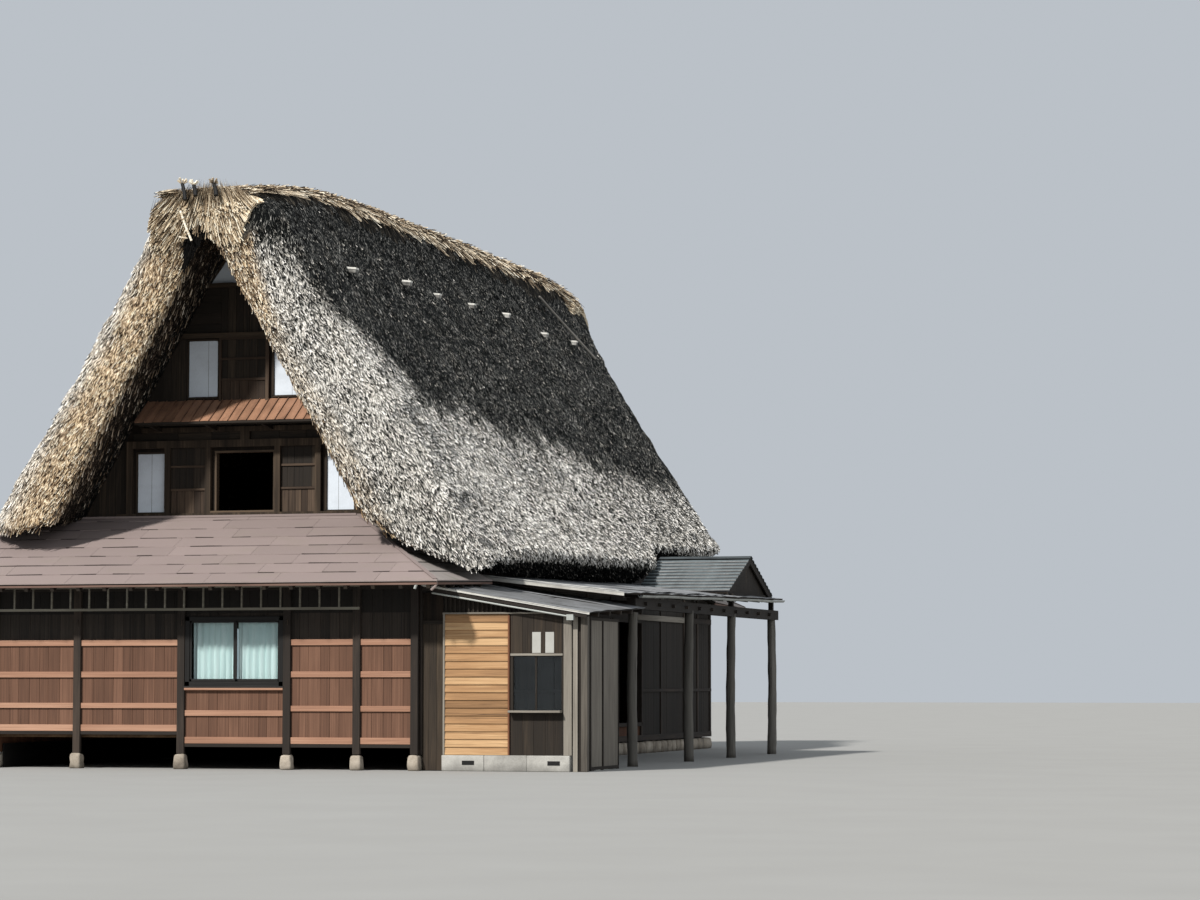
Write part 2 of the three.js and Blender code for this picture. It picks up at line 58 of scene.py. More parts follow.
# ------------------------------------------------------------------ camera, light and floor
def look():
    cam = bpy.data.objects.new("cam", bpy.data.cameras.new("cam"))
    bpy.context.scene.collection.objects.link(cam)
    cam.location = (20.91415 - OFF[0], -49.23624 - OFF[1], 1.3829)
    cam.rotation_euler = (math.radians(90 + 4.032), 0, math.radians(16.145))
    cam.data.sensor_width, cam.data.lens = 36, 99.0
    cam.data.clip_start, cam.data.clip_end = 1, 400
    cam.data.dof.use_dof = False
    bpy.context.scene.camera = cam

    def lamp(name, kind, energy, rot, colour, **kw):
        d = bpy.data.lights.new(name, kind)
        d.energy, d.color = energy, colour
        for k, v in kw.items():
            setattr(d, k, v)
        o = bpy.data.objects.new(name, d)
        bpy.context.scene.collection.objects.link(o)
        o.rotation_euler = [math.radians(a) for a in rot]
        return o

    lamp("key", "SUN", 4.6, (48, 0, -22), (1.0, 0.975, 0.94), angle=math.radians(4))
    lamp("fill", "SUN", 0.42, (62, 0, 62), (0.9, 0.95, 1.0), angle=math.radians(60))
    w = bpy.data.worlds.new("studio")
    w.use_nodes = True
    w.node_tree.nodes["Background"].inputs[0].default_value = (0.80, 0.86, 0.93, 1)
    w.node_tree.nodes["Background"].inputs[1].default_value = 0.62
    bpy.context.scene.world = w
    bpy.context.scene.view_settings.view_transform = "Standard"


look()
bpy.ops.mesh.primitive_plane_add(size=260, location=(0, 40, 0))
floor = bpy.context.object
floor.name = "floor"


def floor_mat():
    m = bpy.data.materials.new("floor")
    m.use_nodes = True
    nt = m.node_tree
    b = nt.nodes["Principled BSDF"]
    b.inputs["Roughness"].default_value = 0.9
    b.inputs["Specular IOR Level"].default_value = 0.1
    n = nt.nodes.new("ShaderNodeTexNoise")
    n.inputs["Scale"].default_value = 0.6
    n.inputs["Detail"].default_value = 6
    c = nt.nodes.new("ShaderNodeValToRGB")
    c.color_ramp.elements[0].color = (0.30, 0.295, 0.28, 1)
    c.color_ramp.elements[1].color = (0.34, 0.335, 0.32, 1)
    tc = nt.nodes.new("ShaderNodeTexCoord")
    nt.links.new(tc.outputs["Object"], n.inputs["Vector"])
    nt.links.new(n.outputs["Fac"], c.inputs[0])
    nt.links.new(c.outputs[0], b.inputs["Base Color"])
    return m


floor.data.materials.append(floor_mat())
floor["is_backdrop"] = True


# ------------------------------------------------------------------ numbers
def hash3(i, j, k, seed):
    h = (i * np.uint32(374761393) + j * np.uint32(668265263) + k * np.uint32(2246822519) + np.uint32(seed) * np.uint32(3266489917))
    h = (h ^ (h >> np.uint32(13))) * np.uint32(1274126177)
    return ((h ^ (h >> np.uint32(16))) & np.uint32(0xFFFF)).astype(np.float64) / 65535.0


def vnoise(x, y, z=0.0, seed=1):
    """Smooth value noise from 0 to 1."""
    x, y, z = np.broadcast_arrays(np.asarray(x, float), np.asarray(y, float), np.asarray(z, float))
    x0, y0, z0 = np.floor(x), np.floor(y), np.floor(z)
    fx, fy, fz = x - x0, y - y0, z - z0
    fx, fy, fz = (f * f * (3 - 2 * f) for f in (fx, fy, fz))
    i, j, k = ((a.astype(np.int64) + 100000).astype(np.uint32) for a in (x0, y0, z0))
    out = 0.0
    with np.errstate(over="ignore"):
        for dx in (0, 1):
            for dy in (0, 1):
                for dz in (0, 1):
                    wgt = (fx if dx else 1 - fx) * (fy if dy else 1 - fy) * (fz if dz else 1 - fz)
                    out = out + wgt * hash3(i + np.uint32(dx), j + np.uint32(dy), k + np.uint32(dz), seed)
    return out


def fbm(x, y, z=0.0, seed=1, n=3):
    s, a, t = 0.0, 1.0, 0.0
    for o in range(n):
        s = s + a * vnoise(np.asarray(x) * 2**o, np.asarray(y) * 2**o, np.asarray(z) * 2**o, seed + 17 * o)
        t += a
        a *= 0.5
    return s / t


def sstep(a, b, x):
    t = np.clip((np.asarray(x, float) - a) / (b - a), 0, 1)
    return t * t * (3 - 2 * t)


def unit(v):
    return v / np.maximum(np.linalg.norm(v, axis=-1, keepdims=True), 1e-9)


def tab(rows, y):
    a = np.array(rows, float)
    return np.interp(y, a[:, 0], a[:, 1])


# ------------------------------------------------------------------ mesh builder
BOXQ = np.array([[0, 3, 2, 1], [4, 5, 6, 7], [0, 1, 5, 4], [1, 2, 6, 5], [2, 3, 7, 6], [3, 0, 4, 7]])


class Geo:
    """Collects points in house coordinates, faces, and for each point a tone, a second value and a grain coordinate."""

    def __init__(self, seed=1):
        self.v, self.q, self.t, self.tone, self.gold, self.g = [], [], [], [], [], []
        self.n = 0
        self.r = np.random.default_rng(seed)

    def put(self, v, quads=None, tris=None, tone=0.5, gold=0.0, g=None):
        v = np.asarray(v, float).reshape(-1, 3)
        k = len(v)
        if quads is not None and len(quads):
            self.q.append(np.asarray(quads, np.int64) + self.n)
        if tris is not None and len(tris):
            self.t.append(np.asarray(tris, np.int64) + self.n)
        self.v.append(v)
        self.tone.append(np.broadcast_to(np.asarray(tone, float), (k,)))
        self.gold.append(np.broadcast_to(np.asarray(gold, float), (k,)))
        self.g.append(v if g is None else np.asarray(g, float).reshape(-1, 3))
        self.n += k

    def box(self, x0, y0, z0, x1, y1, z1, tone=None, gold=0.0, along=None, warp=0.0):
        c = np.array([[x0, y0, z0], [x1, y0, z0], [x1, y1, z0], [x0, y1, z0], [x0, y0, z1], [x1, y0, z1], [x1, y1, z1], [x0, y1, z1]], float)
        size = np.array([x1 - x0, y1 - y0, z1 - z0])
        a = int(np.argmax(size)) if along is None else "xyz".index(along)
        order = [a] + [i for i in range(3) if i != a]
        g = c[:, order] + self.r.uniform(0, 40, 3)
        if warp:
            c = c + self.r.uniform(-warp, warp, c.shape)
        self.put(c, BOXQ, tone=self.r.uniform(0.25, 0.85) if tone is None else tone, gold=gold, g=g)

    def beam(self, p0, p1, w, h, up=(0, 0, 1), tone=None, gold=0.0, w1=None, h1=None):
        """A bar from p0 to p1, w wide and h high."""
        p0, p1, up = (np.asarray(a, float) for a in (p0, p1, up))
        d = unit(p1 - p0)
        s = unit(np.cross(d, up))
        u = np.cross(s, d)
        w1, h1 = w if w1 is None else w1, h if h1 is None else h1
        c, g = [], []
        off = self.r.uniform(0, 40, 3)
        for p, l, ww, hh in ((p0, 0.0, w, h), (p1, float(np.linalg.norm(p1 - p0)), w1, h1)):
            for a, b in ((-1, -1), (1, -1), (1, 1), (-1, 1)):
                c.append(p + s * a * ww / 2 + u * b * hh / 2)
                g.append(np.array([l, a * ww / 2, b * hh / 2]) + off)
        q = [[0, 1, 2, 3], [4, 7, 6, 5], [0, 4, 5, 1], [1, 5, 6, 2], [2, 6, 7, 3], [3, 7, 4, 0]]
        self.put(c, q, tone=self.r.uniform(0.25, 0.85) if tone is None else tone, gold=gold, g=g)

    def tube(self, pts, rad, seg=8, tone=None, gold=0.0, wob=0.0, tones=None):
        """A closed tube along pts, with a radius for each point."""
        pts = np.asarray(pts, float)
        k = len(pts)
        rad = np.broadcast_to(np.asarray(rad, float), (k,))
        d = unit(np.gradient(pts, axis=0))
        ref = np.array([0, 0, 1.0]) if abs(d[0][2]) < 0.8 else np.array([0, 1.0, 0])
        s = unit(np.cross(d, ref))
        u = np.cross(s, d)
        a = np.arange(seg) / seg * 2 * np.pi
        wobble = 1 + wob * self.r.uniform(-1, 1, (k, seg))
        ring = pts[:, None] + (rad[:, None] * wobble)[..., None] * (np.cos(a)[None, :, None] * s[:, None] + np.sin(a)[None, :, None] * u[:, None])
        run = np.concatenate([[0], np.cumsum(np.linalg.norm(np.diff(pts, axis=0), axis=1))])
        g = np.stack([np.repeat(run, seg), np.tile(np.cos(a) * rad.mean(), k), np.tile(np.sin(a) * rad.mean(), k)], 1) + self.r.uniform(0, 40, 3)
        i = np.arange(k - 1)[:, None] * seg
        j = np.arange(seg)[None, :]
        jn = (j + 1) % seg
        q = np.stack([i + j, i + jn, i + seg + jn, i + seg + j], -1).reshape(-1, 4)
        v = ring.reshape(-1, 3)
        base = len(v)
        v = np.concatenate([v, pts[:1], pts[-1:]])
        g = np.concatenate([g, g[:1], g[-1:]])
        t = [[base, (m + 1) % seg, m] for m in range(seg)] + [[base + 1, base - seg + m, base - seg + (m + 1) % seg] for m in range(seg)]
        tn = self.r.uniform(0.25, 0.85) if tone is None else tone
        if tones is not None:
            tn = np.concatenate([np.repeat(tones, seg), [tones[0], tones[-1]]])
        self.put(v, q, t, tone=tn, gold=gold, g=g)

    def shell(self, P, thick, tone=0.5, g=None):
        """A closed sheet from a grid of points P[n, m], thick is the vector to its other face."""
        n, m = P.shape[:2]
        top, bot = P.reshape(-1, 3), (P + np.asarray(thick, float)).reshape(-1, 3)
        i = np.arange(n - 1)[:, None] * m + np.arange(m - 1)[None, :]
        q = np.stack([i, i + m, i + m + 1, i + 1], -1).reshape(-1, 4)
        k = n * m
        edge = np.concatenate([np.arange(m - 1), np.arange(n - 1) * m + m - 1, (n - 1) * m + np.arange(m - 1, 0, -1), np.arange(n - 1, 0, -1) * m])
        nxt = np.roll(edge, -1)
        side = np.stack([edge, nxt, nxt + k, edge + k], -1)
        gg = None if g is None else np.concatenate([g.reshape(-1, 3)] * 2)
        tn = np.concatenate([tone.ravel()] * 2) if isinstance(tone, np.ndarray) else tone
        v = np.concatenate([top, bot])
        a = np.cross(top[m] - top[0], top[1] - top[0]) @ np.asarray(thick if np.ndim(thick) == 1 else thick[0, 0], float)
        qs = [q, q[:, ::-1] + k, side]
        if a > 0:
            qs = [x[:, ::-1] for x in qs]
        self.put(v, np.concatenate(qs), tone=tn, g=gg)

    def prism(self, poly, lo, hi, axis, tone=None, gold=0.0):
        """A flat polygon (two coordinates, convex) drawn out along an axis."""
        k = len(poly)
        ax = "xyz".index(axis)
        other = [i for i in range(3) if i != ax]
        v = np.zeros((2 * k, 3))
        for b, at in ((0, lo), (1, hi)):
            v[b * k:(b + 1) * k, other] = poly
            v[b * k:(b + 1) * k, ax] = at
        area = sum(poly[i][0] * poly[(i + 1) % k][1] - poly[(i + 1) % k][0] * poly[i][1] for i in range(k))
        flip = (area > 0) == (axis != "y")
        t = []
        for i in range(1, k - 1):
            t += [[0, i, i + 1], [k, k + i + 1, k + i]]
        q = [[i, i + k, (i + 1) % k + k, (i + 1) % k] for i in range(k)]
        t, q = np.array(t), np.array(q)
        if flip:
            t, q = t[:, ::-1], q[:, ::-1]
        size = v.max(0) - v.min(0)
        a = int(np.argmax(size))
        g = v[:, [a] + [i for i in range(3) if i != a]] + self.r.uniform(0, 40, 3)
        self.put(v, q, t, tone=self.r.uniform(0.25, 0.85) if tone is None else tone, gold=gold, g=g)

    def make(self, name, mat, slot, *replaces, smooth=False, bevel=0.0, uv=None):
        v = np.concatenate(self.v) - OFF
        v = np.clip(v, [CAD_LO[0], CAD_LO[1], 0.0], [CAD_HI[0], CAD_HI[1], TOP_Z])
        q = np.concatenate(self.q) if self.q else np.zeros((0, 4), int)
        t = np.concatenate(self.t) if self.t else np.zeros((0, 3), int)
        me = bpy.data.meshes.new(name)
        me.vertices.add(len(v))
        me.vertices.foreach_set("co", v.astype(np.float32).ravel())
        me.loops.add(4 * len(q) + 3 * len(t))
        me.loops.foreach_set("vertex_index", np.concatenate([q.ravel(), t.ravel()]).astype(np.int32))
        me.polygons.add(len(q) + len(t))
        me.polygons.foreach_set("loop_start", np.concatenate([np.arange(len(q)) * 4, 4 * len(q) + np.arange(len(t)) * 3]).astype(np.int32))
        me.polygons.foreach_set("use_smooth", np.full(len(q) + len(t), bool(smooth)))
        me.update(calc_edges=True)
        me.validate()
        for key, data in (("tone", self.tone), ("gold", self.gold)):
            a = me.attributes.new(key, "FLOAT", "POINT")
            a.data.foreach_set("value", np.concatenate(data).astype(np.float32))
        a = me.attributes.new("grain", "FLOAT_VECTOR", "POINT")
        a.data.foreach_set("vector", np.concatenate(self.g).astype(np.float32).ravel())
        me.materials.append(mat)
        o = bpy.data.objects.new(name, me)
        bpy.context.scene.collection.objects.link(o)
        if bevel:
            b = o.modifiers.new("edges", "BEVEL")
            b.width, b.segments, b.limit_method, b.angle_limit = bevel, 1, "ANGLE", math.radians(40)
        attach(o, "root")
        if replaces:
            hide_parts(*replaces)
        return o


# ------------------------------------------------------------------ materials
def lin(c):
    return tuple(((x + 0.055) / 1.055) ** 2.4 if x > 0.04045 else x / 12.92 for x in c) + (1.0,)


class Mat:
    def __init__(self, name, rough=0.8, spec=0.3, metallic=0.0):
        self.m = bpy.data.materials.new(name)
        self.m.use_nodes = True
        self.nt = self.m.node_tree
        self.nt.nodes.clear()
        self.out = self.nt.nodes.new("ShaderNodeOutputMaterial")
        self.b = self.nt.nodes.new("ShaderNodeBsdfPrincipled")
        self.nt.links.new(self.b.outputs[0], self.out.inputs[0])
        self.b.inputs["Roughness"].default_value = rough
        self.b.inputs["Specular IOR Level"].default_value = spec
        self.b.inputs["Metallic"].default_value = metallic
        self.tc = self.nt.nodes.new("ShaderNodeTexCoord")

    def set(self, sock, val):
        if isinstance(val, bpy.types.NodeSocket):
            self.nt.links.new(val, sock)
        elif isinstance(val, (tuple, list)) and len(val) == 3 and sock.type == "RGBA":
            sock.default_value = lin(val)
        else:
            sock.default_value = val

    def pos(self):
        return self.tc.outputs["Object"]

    def attr(self, name, vec=False):
        n = self.nt.nodes.new("ShaderNodeAttribute")
        n.attribute_name = name
        return n.outputs["Vector" if vec else "Fac"]

    def scale(self, v, s):
        n = self.nt.nodes.new("ShaderNodeVectorMath")
        n.operation = "MULTIPLY"
        self.set(n.inputs[0], v)
        n.inputs[1].default_value = s
        return n.outputs[0]

    def noise(self, v, s=1.0, detail=4.0, rough=0.55, dist=0.0):
        n = self.nt.nodes.new("ShaderNodeTexNoise")
        self.set(n.inputs["Vector"], v)
        n.inputs["Scale"].default_value = s
        n.inputs["Detail"].default_value = detail
        n.inputs["Roughness"].default_value = rough
        n.inputs["Distortion"].default_value = dist
        return n.outputs["Fac"]

    def voronoi(self, v, s=1.0, feature="F1", out="Distance"):
        n = self.nt.nodes.new("ShaderNodeTexVoronoi")
        n.feature = feature
        self.set(n.inputs["Vector"], v)
        n.inputs["Scale"].default_value = s
        return n.outputs[out]

    def math(self, op, a, b=0.0, c=None, clamp=False):
        n = self.nt.nodes.new("ShaderNodeMath")
        n.operation, n.use_clamp = op, clamp
        self.set(n.inputs[0], a)
        self.set(n.inputs[1], b)
        if c is not None:
            self.set(n.inputs[2], c)
        return n.outputs[0]

    def ramp(self, f, stops, mode="LINEAR"):
        n = self.nt.nodes.new("ShaderNodeValToRGB")
        n.color_ramp.interpolation = mode
        self.set(n.inputs[0], f)
        e = n.color_ramp.elements
        while len(e) < len(stops):
            e.new(0.5)
        for i, (p, c) in enumerate(stops):
            e[i].position = p
            e[i].color = lin(c) if isinstance(c, (tuple, list)) else (c, c, c, 1)
        return n.outputs[0]

    def mix(self, f, a, b, mode="MIX"):
        n = self.nt.nodes.new("ShaderNodeMix")
        n.data_type, n.blend_type = "RGBA", mode
        self.set(n.inputs[0], f)
        self.set(n.inputs[6], a)
        self.set(n.inputs[7], b)
        return n.outputs[2]

    def sep(self, v):
        n = self.nt.nodes.new("ShaderNodeSeparateXYZ")
        self.set(n.inputs[0], v)
        return n.outputs

    def join(self, x, y, z):
        n = self.nt.nodes.new("ShaderNodeCombineXYZ")
        for i, v in enumerate((x, y, z)):
            self.set(n.inputs[i], v)
        return n.outputs[0]

    def color(self, c):
        self.set(self.b.inputs["Base Color"], c)
        return self

    def rough(self, c):
        self.set(self.b.inputs["Roughness"], c)
        return self

    def bump(self, h, strength=0.3, dist=0.01):
        n = self.nt.nodes.new("ShaderNodeBump")
        n.inputs["Strength"].default_value = strength
        n.inputs["Distance"].default_value = dist
        self.set(n.inputs["Height"], h)
        self.nt.links.new(n.outputs[0], self.b.inputs["Normal"])
        return self


def wood(name, dark, mid, pale, streak=28.0, length=1.1, crack=0.55, rough=0.82, stain=None, stain_z=None, bump=0.35):
    """Sawn or weathered wood. Its grain runs along the first grain coordinate."""
    m = Mat(name, rough, 0.25)
    g = m.attr("grain", True)
    fine = m.noise(m.scale(g, (length, streak, streak)), 1.0, 5, 0.6, 0.6)
    broad = m.noise(m.scale(g, (0.5, 2.2, 2.2)), 1.0, 3, 0.5, 0.4)
    tone = m.attr("tone")
    f = m.math("MULTIPLY_ADD", tone, 0.42, m.math("MULTIPLY_ADD", fine, 0.5, m.math("MULTIPLY_ADD", broad, 0.34, -0.14)), True)
    col = m.ramp(f, [(0.12, dark), (0.5, mid), (0.86, pale)])
    cr = m.ramp(m.noise(m.scale(g, (length * 0.8, streak * 2.3, streak * 2.3)), 1.0, 3, 0.5, 0.3), [(0.30, 1.0), (0.40, 0.0)])
    col = m.mix(m.math("MULTIPLY", cr, crack), col, tuple(c * 0.35 for c in dark))
    if stain:
        p = m.sep(m.pos())
        edge = m.math("ADD", p[2], m.math("MULTIPLY_ADD", m.noise(m.scale(m.pos(), (5, 5, 1.2)), 1.0, 4), -0.5, 0.25))
        k = m.ramp(m.math("DIVIDE", m.math("SUBTRACT", edge, stain_z[0]), stain_z[1] - stain_z[0], clamp=True), [(0.0, 1.0), (1.0, 0.0)])
        col = m.mix(m.math("MULTIPLY", k, 0.75), col, stain)
    m.color(col)
    m.rough(m.math("MULTIPLY_ADD", fine, 0.2, rough - 0.12))
    m.bump(m.math("SUBTRACT", fine, m.math("MULTIPLY", cr, 0.8)), bump, 0.006)
    return m.m


def strawy(name, cold, gold, uvscale=(40.0, 8.0), contrast=1.0):
    """Thatch: strands along the grain coordinates, cold greys mixed with gold by the second value."""
    m = Mat(name, 0.9, 0.12)
    g = m.attr("grain", True)
    tone = m.attr("tone")
    u, v, w = m.sep(g)

    def strokes(lean, k, shift):
        """Short marks that lie across each other, leaning to one side or the other."""
        a = m.math("MULTIPLY", m.math("MULTIPLY_ADD", v, lean, u), uvscale[0] * k)
        b = m.math("MULTIPLY_ADD", v, uvscale[1] * k, shift)
        return m.noise(m.join(a, b, m.math("MULTIPLY", w, 9.0)), 1.0, 3, 0.6, 0.3)

    strand = m.math("MAXIMUM", strokes(0.24, 1.0, 0.0), strokes(-0.30, 1.18, 31.0))
    clump = m.noise(m.scale(g, (9.0, 4.0, 4.0)), 1.0, 3, 0.55, 0.2)
    patch = m.noise(m.scale(m.pos(), (0.5, 0.35, 0.5)), 1.0, 3, 0.5, 0.3)
    # the strands run from near-black to near-white: the straw's own colour, plus painted highlights on strands and
    # painted shade in the gaps between them
    f = m.math("MULTIPLY_ADD", strand, 2.3 * contrast, m.math("MULTIPLY_ADD", clump, 0.35, -0.175 - 1.29 * contrast))
    f = m.math("ADD", f, tone)
    f = m.math("ADD", f, m.math("MULTIPLY_ADD", patch, 0.24, -0.12), clamp=True)
    c0 = m.ramp(f, cold)
    c1 = m.ramp(f, gold)
    hue = m.math("ADD", m.attr("gold"), m.math("MULTIPLY_ADD", m.noise(m.scale(g, (3.0, 1.2, 1.0)), 1.0, 3), 0.5, -0.25), clamp=True)
    col = m.mix(hue, c0, c1)
    m.color(col)
    m.bump(strand, 0.6, 0.02)
    return m.m


COLD = [(0.0, (0.026, 0.031, 0.030)), (0.22, (0.142, 0.153, 0.147)), (0.44, (0.555, 0.54, 0.51)), (0.68, (0.82, 0.80, 0.765)), (1.0, (0.97, 0.955, 0.93))]
GOLD = [(0.0, (0.10, 0.075, 0.05)), (0.26, (0.36, 0.28, 0.20)), (0.52, (0.68, 0.575, 0.44)), (0.76, (0.88, 0.80, 0.66)), (1.0, (0.96, 0.92, 0.82))]
RIDGE = [(0.0, (0.10, 0.075, 0.055)), (0.28, (0.35, 0.285, 0.22)), (0.55, (0.68, 0.595, 0.48)), (0.8, (0.88, 0.81, 0.69)), (1.0, (0.96, 0.92, 0.83))]
m_thatch = strawy("thatch", COLD, GOLD, contrast=1.75)
# near-black straw that paints the shade in the hollow beside the top of the opening
HOLLOW_SHADE = [(0.0, (0.008, 0.007, 0.006)), (0.5, (0.028, 0.024, 0.020)), (1.0, (0.085, 0.072, 0.058))]
m_deep = strawy("hollow_shade_straw", HOLLOW_SHADE, HOLLOW_SHADE)
m_straw = strawy("ridge_straw", [(p, tuple(0.55 * a + 0.45 * b for a, b in zip(c, r))) for (p, c), (_, r) in zip(COLD, RIDGE)], RIDGE, (40.0, 2.5), 1.5)

# ------------------------------------------------------------------ thatch
RT = [[.35, 9.45], [1, 9.57], [1.7, 9.68], [2.7, 9.82], [3.8, 9.93], [6.4, 10.02], [12, 10.05], [17, 10.02], [17.8, 9.96], [18.27, 9.9]]
LR = [[.1, 4], [.13, 3.57], [.18, 3.45], [.25, 3.39], [.35, 3.29], [.5, 3.16], [.6, 3.1], [.75, 3.12], [.9, 3.18], [1.14, 3.24], [1.4, 3.29], [1.7, 3.33],
      [2.9, 3.46], [4.5, 3.53], [8.2, 3.56], [11.2, 3.6], [11.5, 3.72], [11.8, 3.96], [12.3, 3.94], [14, 3.99], [17, 4.06], [18.52, 4.16]]
LL = [[.1, 3.9], [.18, 3.85], [1.3, 3.85], [1.9, 3.7], [2.9, 3.52], [4.5, 3.53], [8.2, 3.56], [14, 3.54], [15.6, 3.5], [16.7, 3.68], [17.3, 3.85], [18.44, 3.85], [18.52, 3.9]]
FL = [[.35, -.12], [1.7, 0], [3.5, .19], [15, .19], [18.27, .12]]
Y0, Y1 = 0.10, 18.52
# rounding of the verges: how far the outside is drawn in, lowered, and over what depth
DRAW_X = [[6.8, 1.2], [7.6, 1.1], [8.4, .8], [8.8, .45], [9.1, .15], [9.3, 0]]
DRAW_Z = [[8.4, 0], [8.8, .09], [9.1, .15], [9.3, .18]]
DRAW_Y = [[7.6, 1.04], [8.4, .9], [8.8, .7], [9.1, .45], [9.3, .32]]
NOSE, STEP = 1.04, 1.65
FOOTS = [(0, 2.74, 4.06), (.06, 2.65, 4.07), (1.65, 2.88, 4.16), (1.67, 3.95, 3.22), (99, 3.95, 3.22)]
LIFT = [(0, 2.64, 4.27), (.06, 2.56, 4.27), (1.65, 2.83, 4.25), (1.67, 3.56, 3.812), (99, 3.56, 3.812)]
APEX = [(0, 8.78), (.06, 8.84), (1.65, 9.15), (1.67, 9.2), (99, 9.2)]
LIT = [[0, 8.7], [.5, 8.1], [.86, 7.6], [1.5, 6.75], [3, 6.05], [6.2, 5.85], [13.4, 5.6], [18, 5.5]]  # painted shade: above this height the right slope is painted dark where the sun only grazes it; below it the straw is lighter and stands rougher


def outx(z, y):
    return 1.05 + (9.05 - z) / 1.61 + tab(FL, y) * np.minimum(1.3, np.maximum(0, (5 - z) / 1.45) ** 1.3)


def topz(x, y):
    a, b, k = 9.05 + (1.05 - x) * 1.61, tab(RT, y) - .12 - .15 * x * x, .12
    return -k * np.log(np.exp(-(a - 9) / k) + np.exp(-(b - 9) / k)) + 9


def drawing(z, d):
    """0 on the plain slope, 1 where the rounded verge reaches its inner edge."""
    t = np.clip(1 - np.asarray(d, float) / tab(DRAW_Y, z), 0, 1)
    return 1 - np.sqrt(1 - t * t)


def drawn(p, d):
    f = drawing(p[:, 1], d)
    return np.stack([np.maximum(0.0, p[:, 0] - f * tab(DRAW_X, p[:, 1])), p[:, 1] - f * tab(DRAW_Z, p[:, 1])], 1), f


def pick(rows, d):
    a = np.array(rows)
    return np.array([np.interp(d, a[:, 0], a[:, 1]), np.interp(d, a[:, 0], a[:, 2])])


def resample(p, k, *more):
    s = np.concatenate([[0], np.cumsum(np.linalg.norm(np.diff(p, axis=0), axis=1))])
    t = np.linspace(0, s[-1], k)
    out = np.stack([np.interp(t, s, p[:, 0]), np.interp(t, s, p[:, 1])], 1)
    return (out, *(np.interp(t, s, m) for m in more)) if more else out


def section(y, right, m_out, m_in):
    xs = np.linspace(0, 1.45, 26)
    zl = float(tab(LR if right else LL, y))
    zs = np.linspace(8.33, zl, 60)
    p = np.concatenate([np.stack([xs, topz(xs, y)], 1), np.stack([outx(zs, y), zs], 1)])
    df, dr = y - Y0, Y1 - y
    d = min(df, dr)
    p, f = drawn(p, d)
    foot = pick(FOOTS, d)
    if right and y > 11:
        t = min(1, max(0, (y - 11.2) / .6))
        foot = foot * (1 - t) + pick(LIFT, dr) * t
    apex = float(tab(APEX, d))
    c = p[-1]
    s = np.concatenate([[0], np.cumsum(np.linalg.norm(np.diff(p, axis=0), axis=1))])
    room = float(np.linalg.norm(foot - c))
    cut = s[-1] - min(0.24, 0.6 * room)
    a = np.array([np.interp(cut, s, p[:, 0]), np.interp(cut, s, p[:, 1])])
    keep = s < cut
    outer, fo = resample(np.concatenate([p[keep], [a]]), m_out, np.concatenate([f[keep], [np.interp(cut, s, f)]]))
    b = c + (foot - c) / room * min(0.2, 0.4 * room)
    t = np.linspace(0, 1, 8)[1:, None]
    bend = (1 - t) ** 2 * a + 2 * t * (1 - t) * c + t * t * b
    lip = resample(np.stack([b, foot]), 9)[1:]
    inner = resample(np.stack([foot, [0.0, apex]]), m_in)[1:]
    rest = len(bend) + len(lip) + len(inner)
    return np.concatenate([outer, bend, lip, inner]), np.concatenate([fo, np.full(rest, fo[-1])])


def core(right, m_out, dy, m_in=24):
    th = np.linspace(0, np.pi / 2, 19)
    half = np.concatenate([NOSE * (1 - np.cos(th)), np.arange(NOSE + dy, STEP - 0.02, dy), [STEP, STEP + 0.02]])
    mid = np.arange(STEP + 0.02 + dy, Y1 - Y0 - STEP - 0.02 - dy / 2, dy)
    ds = np.concatenate([half, mid, (Y1 - Y0) - half[::-1]])
    ys = Y0 + ds
    cols = [section(min(max(y, Y0), Y1), right, m_out, m_in) for y in ys]
    P2 = np.stack([c[0] for c in cols], 1)  # ring point, column, (x, z)
    f = np.stack([c[1] for c in cols], 1)
    P = np.stack([P2[..., 0], np.broadcast_to(ys[None], P2.shape[:2]), P2[..., 1]], -1)
    return P, ys, f


def grid_normals(P):
    a = np.gradient(P, axis=0)
    b = np.gradient(P, axis=1)
    return unit(np.cross(a, b))


